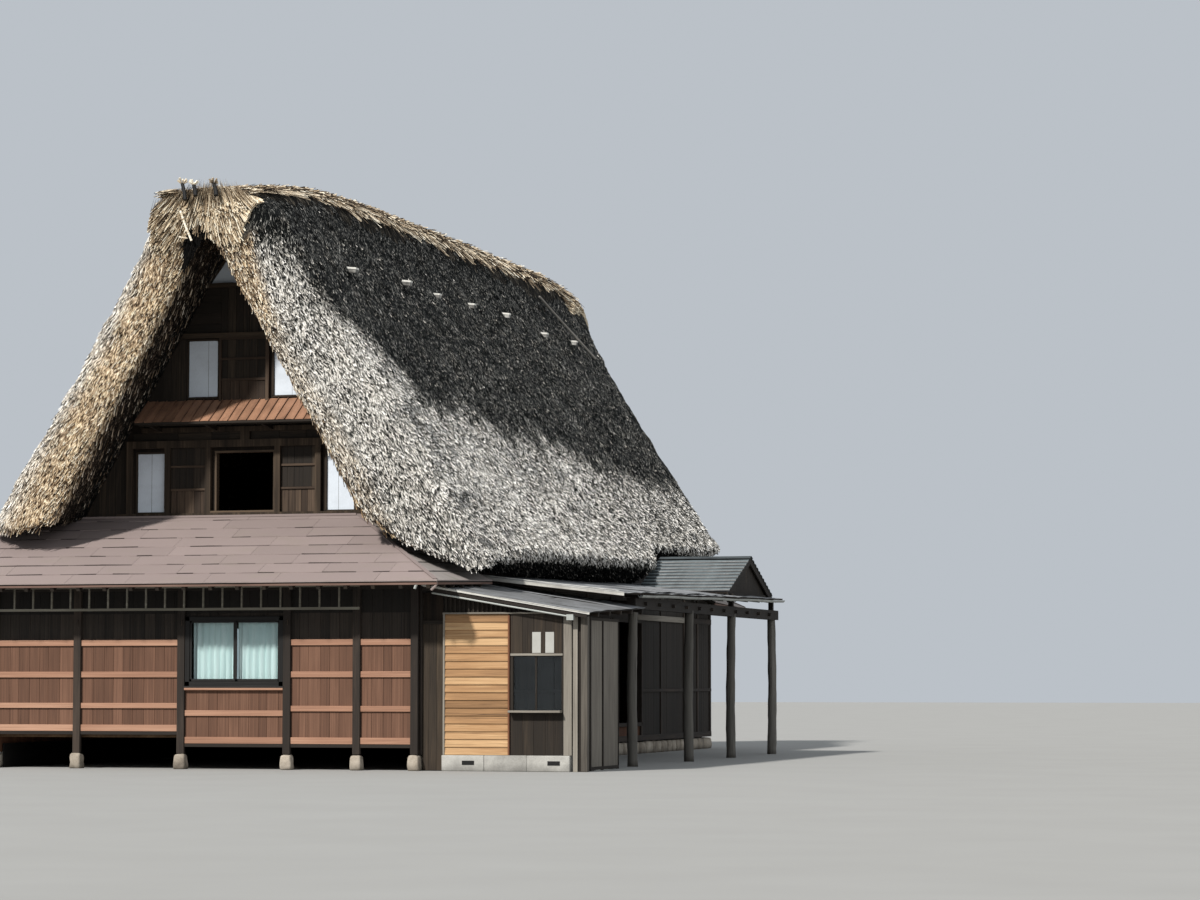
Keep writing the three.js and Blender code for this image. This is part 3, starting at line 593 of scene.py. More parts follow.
def thatch(right, name, m_out, dy, seed):
    P, ys, f = core(right, m_out, dy)
    seg = m_out
    T, C = P.shape[:2]
    N = grid_normals(P)
    if N[seg // 2, C // 2] @ np.array([1, 0, 1.0]) < 0:
        N = -N
    s = np.concatenate([np.zeros((1, C)), np.cumsum(np.linalg.norm(np.diff(P, axis=0), axis=2), axis=0)])
    Y, Z = P[..., 1], P[..., 2].copy()
    big = (fbm(Y / 1.7, s / 1.9, 0, seed, 3) - 0.5) * 0.13
    lumps = fbm(Y / 0.22, s / 0.34, 0, seed + 3, 2) - 0.5
    fine = vnoise(Y / 0.085, s / 0.12, 0, seed + 9) - 0.5
    h = lumps * 0.10 + fine * 0.05
    ring = np.arange(T)[:, None]
    outside = 1 - sstep(seg + 6, seg + 9, ring)  # lip and inner side are calmer
    low = sstep(0.0, 0.5, s)
    e = np.minimum(Y - Y0, Y1 - Y)
    # lit_and_rough is 1 low on the right slope, where the straw stands rougher and is painted lit, and 0 higher up,
    # where it lies flatter and is painted into shade
    lit_and_rough = 1 - sstep(-0.5, 0.5, Z - tab(LIT, Y) + (fbm(Y / 0.5, s / 0.6, 0, seed + 5, 3) - 0.5) * 1.2) if right else np.ones_like(Z)
    # the straw collar swells out over the top of each verge
    swell = (0.04 if right else 0.0) * np.exp(-((s - 1.1) / 0.5) ** 2) * (1 - sstep(0.5, 1.0, e)) * (ring < seg)
    amp = (0.75 + 0.25 * lit_and_rough) * outside * low * (0.6 + 0.4 * sstep(0.0, 0.15, e)) + 0.35 * (1 - outside) * (1 - sstep(1.3, 1.6, e))
    P = P + N * ((h * amp + big * outside * low * sstep(0.2, 1.2, e) + swell)[..., None])
    P[..., 0] = np.maximum(P[..., 0], 0.0)
    P[..., 1] = np.clip(P[..., 1], Y0 - 0.05, Y1 + 0.05)
    P[0, :, 0] = P[-1, :, 0] = 0
    # painted shade: tone falls above the lit line of the right slope and with low displacement h in the hollows between
    # lumps; it is also a little darker on the rounded verges and towards the back
    tone = 0.43 + 0.05 * lit_and_rough + h * 2.4 - (0.34 * (1 - lit_and_rough) if right else 0.0) - 0.06 * sstep(0.05, 0.3, f) - 0.12 * sstep(4, 15, Y) * lit_and_rough
    # painted shade: the cut under the eave and the inside of the ring are darkened, less so near the ends of the house
    tone = tone - 0.55 * sstep(seg + 1, seg + 6, ring) * (1 - 0.55 * (1 - sstep(0.0, 0.4, e)))
    tone = np.clip(tone, 0.02, 1)
    # gold on the verges, most of it towards the inner edge
    inner = sstep(seg + 8, seg + 16, ring)
    if right:
        gold = sstep(0.72, 0.97, f) * (0.25 + 0.55 * sstep(6.8, 7.6, Z)) * (1 - sstep(8.5, 8.75, Z))
    else:
        gold = 0.20 * sstep(0.0, 0.15, f) + 0.66 * sstep(0.25, 0.70, f)
    gold = np.where(inner > 0, inner * 0.42 * (1 - sstep(0.8, 1.5, e)), gold)
    sx = 1.0 if right else -1.0
    V = P.copy()
    V[..., 0] *= sx
    across = np.concatenate([np.zeros((T, 1)), np.cumsum(np.linalg.norm(np.diff(P, axis=1), axis=2), axis=1)], 1)
    g = np.stack([across, s, Y * 0], -1)
    geo = Geo(seed)
    idx = np.arange(T)[:, None] * C + np.arange(C)[None]
    a, b, c, d = idx[:-1, :-1], idx[1:, :-1], idx[1:, 1:], idx[:-1, 1:]
    q = np.stack([a, b, c, d], -1).reshape(-1, 4)
    # the plane under the ridge closes the ring
    q2 = np.stack([idx[-1, :-1], idx[0, :-1], idx[0, 1:], idx[-1, 1:]], -1).reshape(-1, 4)
    q = np.concatenate([q, q2])
    tris = []
    for col, fl in ((0, False), (C - 1, True)):
        i, j = 0, T - 1
        while j - i > 1:
            pi, pj = V[i, col], V[j, col]
            if np.linalg.norm(V[i + 1, col] - pj) < np.linalg.norm(V[j - 1, col] - pi):
                tri = [idx[i, col], idx[i + 1, col], idx[j, col]]
                i += 1
            else:
                tri = [idx[i, col], idx[j - 1, col], idx[j, col]]
                j -= 1
            tris.append(tri if fl else tri[::-1])
    t = np.array(tris)
    # outward winding on either side
    k0 = (seg // 2) * (C - 1) + C // 2
    p0, p1, p2 = (V.reshape(-1, 3)[q[k0, m]] for m in (0, 1, 2))
    nn = np.cross(p1 - p0, p2 - p0)
    if nn @ np.array([sx, 0, 1.0]) < 0:
        q, t = q[:, ::-1], t[:, ::-1]
    geo.put(V, q, t, tone=tone.ravel(), gold=gold.ravel(), g=g)
    geo.make(name, m_thatch, "thatch", name, smooth=True)
    return dict(P=P, N=N, s=s, seg=seg, gold=gold, e=e, right=right, h=h, ys=ys, f=f, lit_and_rough=lit_and_rough)


ARCH = [[7.7, 0.40], [8.18, 0.40], [8.51, 0.39], [8.68, 0.35], [8.78, 0.28], [8.84, 0.0], [9.0, -1.0]]  # the hollow left of the top of the opening


def spikes4(geo, A, D, U, L, W, tone, gold, g, thick=0.55, deep=False):
    """The cheapest closed straw: a point in the thatch and a three-cornered cut end."""
    mid = A + D * (L * 0.55)[:, None]
    # other straws are kept out of the hollow, where near-black straws paint its shade
    clear = (mid[:, 0] > 0) | (-mid[:, 0] > tab(ARCH, mid[:, 2])) | ((mid[:, 1] > Y0 + 0.5) & (mid[:, 1] < Y1 - 0.5))
    if not deep and not clear.all():
        A, D, U, L, W, tone, gold, g = (a[clear] for a in (A, D, U, L, W, tone, gold, g))
    k = len(A)
    S = unit(np.cross(D, U))
    U2 = np.cross(S, D)
    end = A + D * L[:, None]
    w = W[:, None]
    v = np.stack([A, end - S * w / 2, end + S * w / 2, end + U2 * w * thick], 1)
    base = np.arange(k)[:, None] * 4
    tri = np.concatenate([base + np.array(x)[None] for x in ([0, 2, 1], [0, 3, 2], [0, 1, 3], [1, 2, 3])])
    # the buried point is painted darker than the cut end, as shade down among the straws
    tn = np.stack([tone * 0.45, tone, tone, tone], 1)
    gd = np.repeat(gold[:, None], 4, 1)
    gg = np.repeat(g[:, None], 4, 1)
    geo.put(v, None, tri, tone=tn.ravel(), gold=gd.ravel(), g=gg)


def on_grid(F, count, weight, r):
    """Random points on the thatch, evenly by area and weight."""
    P = F["P"]
    a = np.linalg.norm(np.cross(P[1:, :-1] - P[:-1, :-1], P[:-1, 1:] - P[:-1, :-1]), axis=-1)
    w = (a * weight[:-1, :-1]).ravel()
    cell = r.choice(len(w), count, p=w / w.sum())
    i, j = np.divmod(cell, P.shape[1] - 1)
    u, v = r.uniform(0, 1, (2, count))

    def at(Q):
        u_, v_ = (u, v) if Q.ndim == 2 else (u[:, None], v[:, None])
        return (Q[i, j] * (1 - u_) + Q[i + 1, j] * u_) * (1 - v_) + (Q[i, j + 1] * (1 - u_) + Q[i + 1, j + 1] * u_) * v_

    n = unit(at(F["N"]))
    # straw runs down the slope, so its sideways part follows the house and not the slanting grid lines
    down = np.array([[0.527, 0.0, -0.85]])
    down = unit(down - n * (n * down).sum(1)[:, None])
    side = unit(np.cross(n, down))
    return at(P), n, down, side, at(F["s"]), i, at(F["gold"]), at(F["h"]), at(F["f"]), at(F["lit_and_rough"])


def flip(a, right):
    return a if right else a * np.array([-1.0, 1, 1])


def slope_straw(F, name, count, seed, nose=1.0):
    """Short cut ends all over the slope and the rounded verges."""
    r = np.random.default_rng(seed)
    P, seg, right = F["P"], F["seg"], F["right"]
    ring = np.arange(len(P))[:, None]
    s, e = F["s"], F["e"]
    wgt = np.where(ring < seg + 4, 1.0, 0.0) * sstep(0.6, 0.9, s) * (0.7 + 0.3 * F["lit_and_rough"]) * (1 + (nose - 1) * (1 - sstep(0.6, 1.2, e)))
    p, n, d, side, sv, i, gold, h, f, lit_rough = on_grid(F, count, wgt, r)
    nose_ = sstep(0.03, 0.25, f) * (0.35 if right else 1.0)  # on the rounded verge the straws are longer and lie flatter
    lift = r.uniform(0.04, 0.40, count) * (0.40 + 0.60 * lit_rough) * (1 - 0.55 * nose_)
    turn = r.normal(0.05, 0.24, count) * (1 - 0.35 * nose_)
    D = unit(d + n * lift[:, None] + side * turn[:, None])
    L = r.uniform(0.07, 0.165, count) * (1 + 0.6 * nose_)
    W = r.uniform(0.009, 0.019, count)
    A = p - n * 0.012 - D * (L * 0.35)[:, None]
    # pale and dark straws: partly the straw's own colour, partly painted highlights on straws that catch the sun and
    # painted shade between them
    lit = r.uniform(0, 1, count) < 0.68
    tone = np.where(lit, r.normal(1.0, 0.12, count), r.normal(0.24, 0.13, count))
    # painted shade: darker on the upper right slope the sun only grazes, and a little darker towards the back
    tone = (tone - 0.5) * (0.38 + 0.62 * lit_rough) * (1 - 0.25 * nose_) + 0.5 - 0.50 * (1 - lit_rough) - 0.10 * sstep(4, 15, p[:, 1]) * lit_rough
    # painted shadow of the ridge cap on the straws just under it; then painted shade where the thatch surface dips
    tone = tone - 0.30 * (1 - sstep(0.8, 1.6, sv)) * (1 - nose_)
    tone = np.clip(tone + h * 1.0, 0.03, 1)
    geo = Geo(seed)
    g = np.stack([p[:, 1] + r.uniform(-.2, .2, count), sv, r.uniform(0, 9, count)], 1)
    gd = np.clip(gold + r.normal(0, 0.16, count) * (gold > 0.04), 0, 1)
    spikes4(geo, flip(A, right), flip(D, right), flip(n, right), L, W, tone, gd, g)
    return geo.make(name, m_thatch, "thatch")


def face_straw(F, name, front, count, seed):
    """Straws over the narrow front face between the rounded outside and the inner edge of a verge."""
    r = np.random.default_rng(seed)
    right, col = F["right"], F["P"][:F["seg"], 0 if front else -1]
    z = r.uniform(4.02 if front or not right else 4.3, 8.95, count)
    order = np.argsort(col[:, 2])
    xo = np.interp(z, col[order, 2], col[order, 0])
    xi = np.maximum(0.02, 2.74 * (8.78 - z) / 4.72)
    keep = xo > xi + 0.01
    z, xo, xi = z[keep], xo[keep], xi[keep]
    count = len(z)
    t = r.uniform(-0.05, 1.0, count)
    sgn = -1.0 if front else 1.0
    A0 = np.stack([xi + (xo - xi) * t, np.full(count, Y0 if front else Y1) + sgn * r.uniform(-0.01, 0.012, count), z], -1)
    n = np.repeat(np.array([[0.0, sgn, 0.0]]), count, 0)
    D = unit(np.stack([0.5 + r.normal(0, 0.20, count), sgn * r.uniform(0.02, 0.28, count), np.full(count, -0.87)], -1))
    L = r.uniform(0.10, 0.22, count)
    A = A0 - D * (L * 0.5)[:, None]
    top = sstep(6.6, 7.6, z)
    tone = np.clip(r.normal(0.60, 0.22, count), 0.05, 1)
    gold = (0.30 + 0.50 * top) if right else np.full(count, 0.85)
    geo = Geo(seed)
    g = np.stack([z, A0[:, 0], r.uniform(0, 9, count)], 1)
    spikes4(geo, flip(A, right), flip(D, right), flip(n, right), L, r.uniform(0.009, 0.018, count), tone, np.clip(gold + r.normal(0, 0.15, count), 0, 1), g)
    return geo.make(name, m_thatch, "thatch")


def reveal_straw(F, name, count, seed):
    """Straws on the underside of the verges and the rough inner edge, painted dark as shade, lighter near the ends."""
    r = np.random.default_rng(seed)
    P, seg, right = F["P"], F["seg"], F["right"]
    T = len(P)
    ring = np.arange(T)[:, None]
    e = F["e"]
    wgt = np.where((ring > seg + 6) & (ring < T - 2), 1.0, 0.0) * (0.25 + 1.6 * (1 - sstep(0.0, 0.35, e))) * (1 - sstep(1.45, 1.6, e))
    p, n, d, side, sv, i, gold, h, f, lit_rough = on_grid(F, count, wgt, r)
    near = 1 - sstep(0.05, 0.5, np.minimum(p[:, 1] - Y0, Y1 - p[:, 1]))
    fw = np.where((p[:, 1] < 9)[:, None], np.array([[0, -1.0, 0]]), np.array([[0, 1.0, 0]]))
    D = unit(d + n * r.uniform(0.0, 0.22, (count, 1)) + side * r.normal(0, 0.2, (count, 1)) + fw * (near * r.uniform(0.0, 0.25, count))[:, None])
    L = r.uniform(0.10, 0.30, count)
    W = r.uniform(0.012, 0.022, count)
    A = p - D * (L * 0.3)[:, None] - n * 0.01
    tone = np.clip(r.normal(0.22, 0.12, count) + 0.34 * near, 0.04, 1)
    geo = Geo(seed)
    g = np.stack([p[:, 1] + r.uniform(-.2, .2, count), sv, r.uniform(0, 9, count)], 1)
    spikes4(geo, flip(A, right), flip(D, right), flip(n, right), L, W, tone, np.clip(0.45 + 0.35 * near + r.normal(0, 0.12, count), 0, 1), g)
    return geo.make(name, m_thatch, "thatch")


def eave_fringe(F, name, count, seed):
    """Ragged ends hanging from the lip, darker towards the inside of the cut as painted shade."""
    r = np.random.default_rng(seed)
    seg, right = F["seg"], F["right"]
    ring = np.arange(len(F["P"]))[:, None]
    wgt = np.where((ring > seg - 4) & (ring < seg + 14), 1.0, 0.0) * (0.4 + 0.6 * sstep(0.3, 1.2, F["e"]))
    p, n, d, side, sv, i, gold, h, f, lit_rough = on_grid(F, count, wgt, r)
    k = np.clip((i - seg) / 6.0, 0, 1)
    fall = np.array([[0.45, 0, -1.0]])
    D = unit(d * (1 - k)[:, None] + fall * 0.6 + n * r.uniform(0.0, 0.2, (count, 1)) + side * r.normal(0, 0.2, (count, 1)))
    L = r.uniform(0.06, 0.16, count) * (1 - 0.35 * k)
    W = r.uniform(0.012, 0.024, count)
    A = p - D * (L * 0.4)[:, None]
    tone = np.clip(r.normal(0.66, 0.24, count) * (1 - 0.88 * k), 0.02, 1)
    geo = Geo(seed)
    g = np.stack([p[:, 1], sv, r.uniform(0, 9, count)], 1)
    spikes4(geo, flip(A, right), flip(D, right), flip(n, right), L, W, tone, np.clip(gold * 0.6, 0, 1), g)
    return geo.make(name, m_thatch, "thatch")


FR = thatch(True, "thatch_right", 122, 0.080, 11)
FL_ = thatch(False, "thatch_left", 104, 0.095, 23)
slope_straw(FR, "thatch_straw_right_1", 39500, 31, 1.5)
slope_straw(FR, "thatch_straw_right_2", 39500, 32, 1.5)
slope_straw(FL_, "thatch_straw_left", 29500, 37, 4.4)
face_straw(FR, "verge_face_right", True, 2600, 57)
face_straw(FL_, "verge_face_left", True, 3600, 58)
face_straw(FR, "verge_face_rear_right", False, 1500, 59)
face_straw(FL_, "verge_face_rear_left", False, 1500, 60)
reveal_straw(FR, "reveal_straw_right", 3600, 41)
reveal_straw(FL_, "reveal_straw_left", 6500, 43)
eave_fringe(FR, "eave_straw_right", 8000, 47)
eave_fringe(FL_, "eave_straw_left", 4500, 53)


# ------------------------------------------------------------------ ridge
def ridge():
    """The straw layer over the ridge and its ragged edges."""
    r = np.random.default_rng(61)
    xs = np.linspace(-1.05, 1.05, 43)
    ys = np.linspace(Y0 + 0.10, Y1 - 0.10, 190)
    X, Y = np.meshgrid(xs, ys, indexing="ij")
    ax = np.abs(X)

    def surface(ax, Y):
        z = topz(ax, Y)
        f = drawing(z, np.minimum(Y - Y0, Y1 - Y))
        return ax - np.minimum(ax, f * tab(DRAW_X, z)), z - f * tab(DRAW_Z, z)

    edge = 0.54 + 0.10 * (fbm(Y / 0.5, 3.0 * np.sign(X), 0, 7, 3) - 0.5) * 2
    drop = sstep(edge, edge + 0.08, ax)
    bx, z = surface(ax, Y)
    lump = (fbm(X / 0.16, Y / 0.10, 0, 5, 3) - 0.5) * 0.06
    up = 0.105 * (1 - drop) + 0.012 * drop + lump * (1 - 0.4 * drop)
    up = up * (1 - sstep(0.78, 0.95, ax)) - 0.05 * sstep(0.72, 0.95, ax)
    B = np.stack([bx * np.sign(X), Y, z], -1)
    nrm = unit(np.cross(np.gradient(B, axis=0), np.gradient(B, axis=1)))
    nrm = np.where(nrm[..., 2:] < 0, -nrm, nrm)
    P = B + nrm * up[..., None]
    geo = Geo(3)
    s = np.cumsum(np.concatenate([np.zeros((1, len(ys))), np.linalg.norm(np.diff(P, axis=0), axis=2)]), 0)
    # painted shadow: the band beyond the cap's edge is darkened with drop, the hollows between lumps are painted
    # darker, and the right side of the cap is painted darker as shade
    tone = np.clip(0.42 + lump * 6 - 0.42 * drop - 0.20 * sstep(0.30, 0.50, X) * (1 - drop), 0, 1)
    g = np.stack([Y, s, 0 * Y], -1)
    lo = P - nrm * 0.14
    lo[..., 2] = np.minimum(lo[..., 2], P[..., 2] - 0.03)
    n, m = P.shape[:2]
    V = np.concatenate([P.reshape(-1, 3), lo.reshape(-1, 3)])
    i = np.arange(n - 1)[:, None] * m + np.arange(m - 1)[None]
    q = np.stack([i, i + m, i + m + 1, i + 1], -1).reshape(-1, 4)
    k = n * m
    ring = np.concatenate([np.arange(m - 1), np.arange(n - 1) * m + m - 1, (n - 1) * m + np.arange(m - 1, 0, -1), np.arange(n - 1, 0, -1) * m])
    nxt = np.roll(ring, -1)
    side = np.stack([ring, ring + k, nxt + k, nxt], -1)
    geo.put(V, np.concatenate([q, q[:, ::-1] + k, side[:, ::-1]]), tone=np.concatenate([tone.ravel()] * 2),
            gold=np.concatenate([(0.9 * (1 - drop)).ravel()] * 2), g=np.concatenate([g.reshape(-1, 3)] * 2))
    geo.make("ridge_cap", m_straw, "straw", "ridge_cap", smooth=True)

    def over(x, y):
        def at(ax_):
            b, zz = surface(ax_, y)
            return np.stack([b * np.sign(x), y, zz], -1)

        p = at(np.abs(x))
        t = unit(at(np.abs(x) + 0.02) - p)  # down the slope
        nn = unit(np.cross(t, np.array([[0, 1.0, 0]])))
        nn = np.where(nn[:, 2:] < 0, -nn, nn)
        return p, nn, t

    # loose ends of the cap, all along
    geo = Geo(4)
    c = 11500
    x = r.uniform(0.02, 0.58, c) ** 0.8 * r.choice([-1.0, 1.0], c)
    y = r.uniform(Y0 + 0.12, Y1 - 0.12, c)
    p, nn, dn = over(x, y)
    L = r.uniform(0.12, 0.30, c)
    D = unit(dn + nn * r.uniform(-0.04, 0.26, (c, 1)) + np.array([[0, 1.0, 0]]) * r.normal(0, 0.4, (c, 1)))
    A = p + nn * r.uniform(0.06, 0.105, (c, 1)) - D * (L * 0.3)[:, None]
    # the point of a straw stays under the surface where the ridge drops to its ends
    A[:, 2] = np.minimum(A[:, 2], surface(np.abs(A[:, 0]), np.clip(A[:, 1], Y0, Y1))[1] + 0.09)
    # straws on the right side are painted darker, as shade
    tone = np.clip(r.normal(0.55, 0.42, c) - 0.26 * sstep(0.28, 0.46, x), 0.03, 1)
    over_top = (A + D * L[:, None])[:, 2] > TOP_Z - 0.004
    D[over_top, 2] = -0.05
    D = unit(D)
    g = np.stack([y, np.abs(x), r.uniform(0, 9, c)], 1)
    spikes4(geo, A, D, nn, L, r.uniform(0.010, 0.022, c), tone, np.full(c, 0.75), g)
    # bunches that hang over the band under the cap, which is painted dark as the cap's shadow
    b = 250
    bx = r.uniform(0.46, 0.60, b) * r.choice([-1.0, 1.0], b)
    by = r.uniform(0.8, Y1 - 0.5, b)
    k = r.integers(3, 11, b)
    x, y = np.repeat(bx, k), np.repeat(by, k) + r.normal(0, 0.05, k.sum())
    c = len(x)
    lean = np.repeat(r.normal(0.25, 0.40, b), k) + r.normal(0, 0.12, c)
    p, nn, dn = over(x, y)
    L = np.repeat(r.uniform(0.18, 0.62, b), k) * r.uniform(0.6, 1.1, c)
    D = unit(dn + nn * r.uniform(0.0, 0.09, (c, 1)) + np.array([[0, 1.0, 0]]) * lean[:, None])
    A = p + nn * r.uniform(0.04, 0.09, (c, 1)) - D * 0.05
    # the bunches on the right are painted a little darker, as shade
    tone = np.clip(np.repeat(r.normal(0.62, 0.20, b), k) + r.normal(0, 0.1, c) - 0.10 * (x > 0), 0.08, 1)
    g = np.stack([y, np.abs(x), r.uniform(0, 9, c)], 1)
    spikes4(geo, A, D, nn, L, r.uniform(0.009, 0.017, c), tone, np.full(c, 0.55), g)
    geo.make("ridge_straw", m_straw, "straw")


ridge()


def collar(F, name, front, seed, count=2600):
    """Straw bundles folded over the top of a verge and cut ragged below."""
    r = np.random.default_rng(seed)
    right, seg = F["right"], F["seg"]
    ring = np.arange(len(F["P"]))[:, None]
    s, X, Y, Z = F["s"], F["P"][..., 0], F["P"][..., 1], F["P"][..., 2]
    near = (Y - Y0) if front else (Y1 - Y)
    limit, deep = (8.45, 0.14) if right and front else (8.42, 0.85)
    edge = [[8.35, 0.50], [8.51, 0.54], [8.68, 0.58], [8.81, 0.66], [9.01, 0.75], [9.18, 0.87], [9.4, 0.95], [9.6, 1.0]] if right and front else [[8.39, 0.86], [8.5, 1.0], [9.01, 0.99], [9.35, 0.91], [9.6, 0.9]]
    inside = sstep(-0.04, 0.02, tab(edge, Z) - X)
    wgt = np.where(ring < seg, 1.0, 0.0) * (1 - sstep(deep, deep * 1.25 + 0.1 * sstep(9.0, 9.3, Z), near)) * sstep(limit - 0.02, limit + 0.12, Z) * (1 + 1.5 * (1 - sstep(0, 0.3, near))) * inside
    p, n, d, side, sv, i, gold, h, f, lit_rough = on_grid(F, count, wgt, r)
    fw = np.array([[0, -1.0 if front else 1.0, 0]])
    # the straws fan out from the end of the ridge
    hub = np.array([[0.0, (Y0 + 0.55) if front else (Y1 - 0.55), 9.75]])
    fan = unit(p - hub)
    D = unit(d * 0.45 + fan * 0.75 + n * r.uniform(0.02, 0.20, (count, 1)) + side * r.normal(0, 0.10, (count, 1)))
    D = unit(D - n * np.minimum(0, (D * n).sum(1) - 0.03)[:, None])
    L = r.uniform(0.24, 0.60, count)
    W = r.uniform(0.010, 0.022, count)
    A = p - D * (L * 0.85)[:, None] + n * r.uniform(0.0, 0.07, (count, 1))
    # no straw starts above the ridge
    back = np.clip((A[:, 1] - Y0) if front else (Y1 - A[:, 1]), 0, 9)
    top = topz(np.abs(A[:, 0]), A[:, 1])
    A[:, 2] = np.minimum(A[:, 2], top - drawing(top, back) * tab(DRAW_Z, top) + 0.035)
    over_top = (A + D * L[:, None])[:, 2] > TOP_Z - 0.01
    D[over_top, 2] = -0.05
    D = unit(D)
    lit = 0.14 if right else 0.0
    tone = np.clip(r.normal(0.62 + lit, 0.30, count), 0.04, 1)

    def held(A, D, L):
        tip = A + D * np.asarray(L)[:, None]
        B = A.copy()
        B[:, 0] -= np.maximum(0, tip[:, 0] - tab(edge, tip[:, 2]) - 0.04)
        return B

    geo = Geo(seed)
    g = np.stack([p[:, 1] + r.uniform(-.2, .2, count), sv, r.uniform(0, 9, count)], 1)
    spikes4(geo, flip(held(A, D, L), right), flip(D, right), flip(n, right), L, W, tone, np.full(count, 0.9), g)
    # straws fanned over the face of the verge, hanging ragged over the top of the opening
    c = count // 2
    x = r.uniform(0.0, 0.72, c)
    zt = r.uniform(8.60, 9.36, c)
    keep = (x < 0.44 + (zt - 8.42) * 0.36) & (x > (8.74 - zt) * 1.2) & (zt < 9.42 - 0.25 * x)
    x, zt = x[keep], zt[keep]
    c = len(x)
    y = (Y0 - 0.03 if front else Y1 + 0.03) + (1 if front else -1) * np.maximum(0, zt - 8.9) * 0.18 + r.uniform(-0.03, 0.03, c)
    A = np.stack([x, y, zt], -1)
    D = unit(np.stack([0.10 + x * 0.95 + r.normal(0, 0.16, c), (-0.10 if front else 0.10) + r.normal(0, 0.08, c), np.full(c, -1.0)], -1))
    L = r.uniform(0.20, 0.50, c)
    A = A - D * (L * 0.55)[:, None]
    g = np.stack([x, zt, r.uniform(0, 9, c)], 1)
    U = np.repeat(fw, c, 0)
    spikes4(geo, flip(A, right), flip(D, right), flip(U, right), L, r.uniform(0.009, 0.019, c), np.clip(r.normal(0.60 + lit, 0.30, c), 0.04, 1), np.full(c, 0.95), g)
    # more of them over the line where the ridge straw ends
    c = 520
    x = r.uniform(0.0, 0.80, c)
    zt = r.uniform(9.06, 9.34, c) - 0.10 * x
    A = np.stack([x, (Y0 - 0.045 if front else Y1 + 0.045) + r.uniform(-0.02, 0.02, c), zt], -1)
    D = unit(np.stack([0.06 + x * 1.25 + r.normal(0, 0.14, c), (-0.08 if front else 0.08) + r.normal(0, 0.05, c), np.full(c, -1.0)], -1))
    L = r.uniform(0.22, 0.50, c)
    A = A - D * (L * 0.30)[:, None]
    spikes4(geo, flip(held(A, D, L), right), flip(D, right), flip(np.repeat(fw, c, 0), right), L, r.uniform(0.009, 0.019, c), np.clip(r.normal(0.60 + lit, 0.30, c), 0.04, 1), np.full(c, 0.9), A * 3)
    c = 1100
    # long straws combed over the end of the ridge
    x = r.uniform(0.0, 0.86 if right and front else 0.92, c) ** 1.1
    back = r.uniform(-0.04, 0.17, c)
    zt = topz(x, np.clip((Y0 + back) if front else (Y1 - back), Y0, Y1))
    pull = drawing(zt, np.maximum(back, 0))
    zt, xt = zt - pull * tab(DRAW_Z, zt), x - np.minimum(x, pull * tab(DRAW_X, zt))
    zt = zt + 0.035 * sstep(-0.12, 0.12, back) + 0.010 * r.uniform(-1, 1, c)
    A = np.stack([xt, (Y0 + back) if front else (Y1 - back), zt], -1)
    D = unit(np.stack([x * (0.85 + 0.75 * sstep(0.25, 0.5, x) * (1.0 if right else 0.5)) + r.normal(0, 0.12, c), (-1 if front else 1) * (0.15 + 1.6 * np.maximum(0, back)) * r.uniform(0.6, 1.1, c), np.full(c, -0.9)], -1))
    L = r.uniform(0.22, 0.52, c)
    spikes4(geo, flip(held(A, D, L), right), flip(D, right), flip(np.repeat(fw, c, 0), right), L, r.uniform(0.009, 0.018, c), np.clip(r.normal(0.76 + lit, 0.27, c), 0.05, 1), np.full(c, 0.85), A * 3)
    if not right:
        # the thick corner where the straws turn down over the outside
        c = 900
        y = (Y0 + r.uniform(-0.02, 0.55, c)) if front else (Y1 - r.uniform(-0.02, 0.55, c))
        up = r.uniform(0, 1, c) < 0.45
        A = np.stack([np.where(up, r.uniform(0.40, 0.72, c), r.uniform(0.66, 0.93, c)), y, np.where(up, r.uniform(9.36, 9.43, c), r.uniform(9.12, 9.34, c))], -1)
        D = unit(np.stack([np.where(up, 1.0, r.uniform(0.1, 0.4, c)), r.normal(0, 0.12, c), np.where(up, r.uniform(-0.35, -0.05, c), -1.0)], -1))
        L = np.where(up, r.uniform(0.18, 0.34, c), r.uniform(0.24, 0.46, c))
        U = np.repeat(np.array([[0.5, 0.0, 0.8]]), c, 0)
        spikes4(geo, flip(held(A, D, L), right), flip(D, right), flip(U, right), L, r.uniform(0.010, 0.019, c), np.clip(r.normal(0.55, 0.22, c), 0.06, 1), np.full(c, 0.8), A * 3)
    return geo.make(name, m_straw, "straw")


collar(FR, "collar_front_right", True, 71, 3000)
collar(FL_, "collar_front_left", True, 73, 4200)
collar(FR, "collar_rear_right", False, 79, 1800)
collar(FL_, "collar_rear_left", False, 83, 1800)


def arch_straw(name, front, seed, count=900):
    """Near-black straw ends that paint the shade in the hollow beside the top of the opening."""
    r = np.random.default_rng(seed)
    z = r.uniform(7.95, 8.84, count)
    x = r.uniform(0.0, 0.40, count)
    keep = (x < tab(ARCH, z) - 0.01) & (x > 0.573 * (8.78 - z) - 0.03)
    x, z = x[keep], z[keep]
    c = len(x)
    sgn = -1.0 if front else 1.0
    D = unit(np.stack([0.25 + r.normal(0, 0.25, c), sgn * r.uniform(-0.05, 0.12, c), np.full(c, -1.0)], -1))
    L = r.uniform(0.12, 0.22, c)
    A = np.stack([x, (Y0 - 0.05 if front else Y1 + 0.05) + r.uniform(-0.02, 0.02, c), z], -1) - D * (L * 0.55)[:, None]
    geo = Geo(seed)
    spikes4(geo, flip(A, False), flip(D, False), np.tile([0.0, sgn, 0.0], (c, 1)), L, r.uniform(0.018, 0.030, c), np.clip(r.normal(0.52, 0.28, c), 0, 1), np.zeros(c), A * 3, 0.4, True)
    geo.make(name, m_deep, "thatch")


arch_straw("hollow_straw_front", True, 87)
arch_straw("hollow_straw_rear", False, 89)


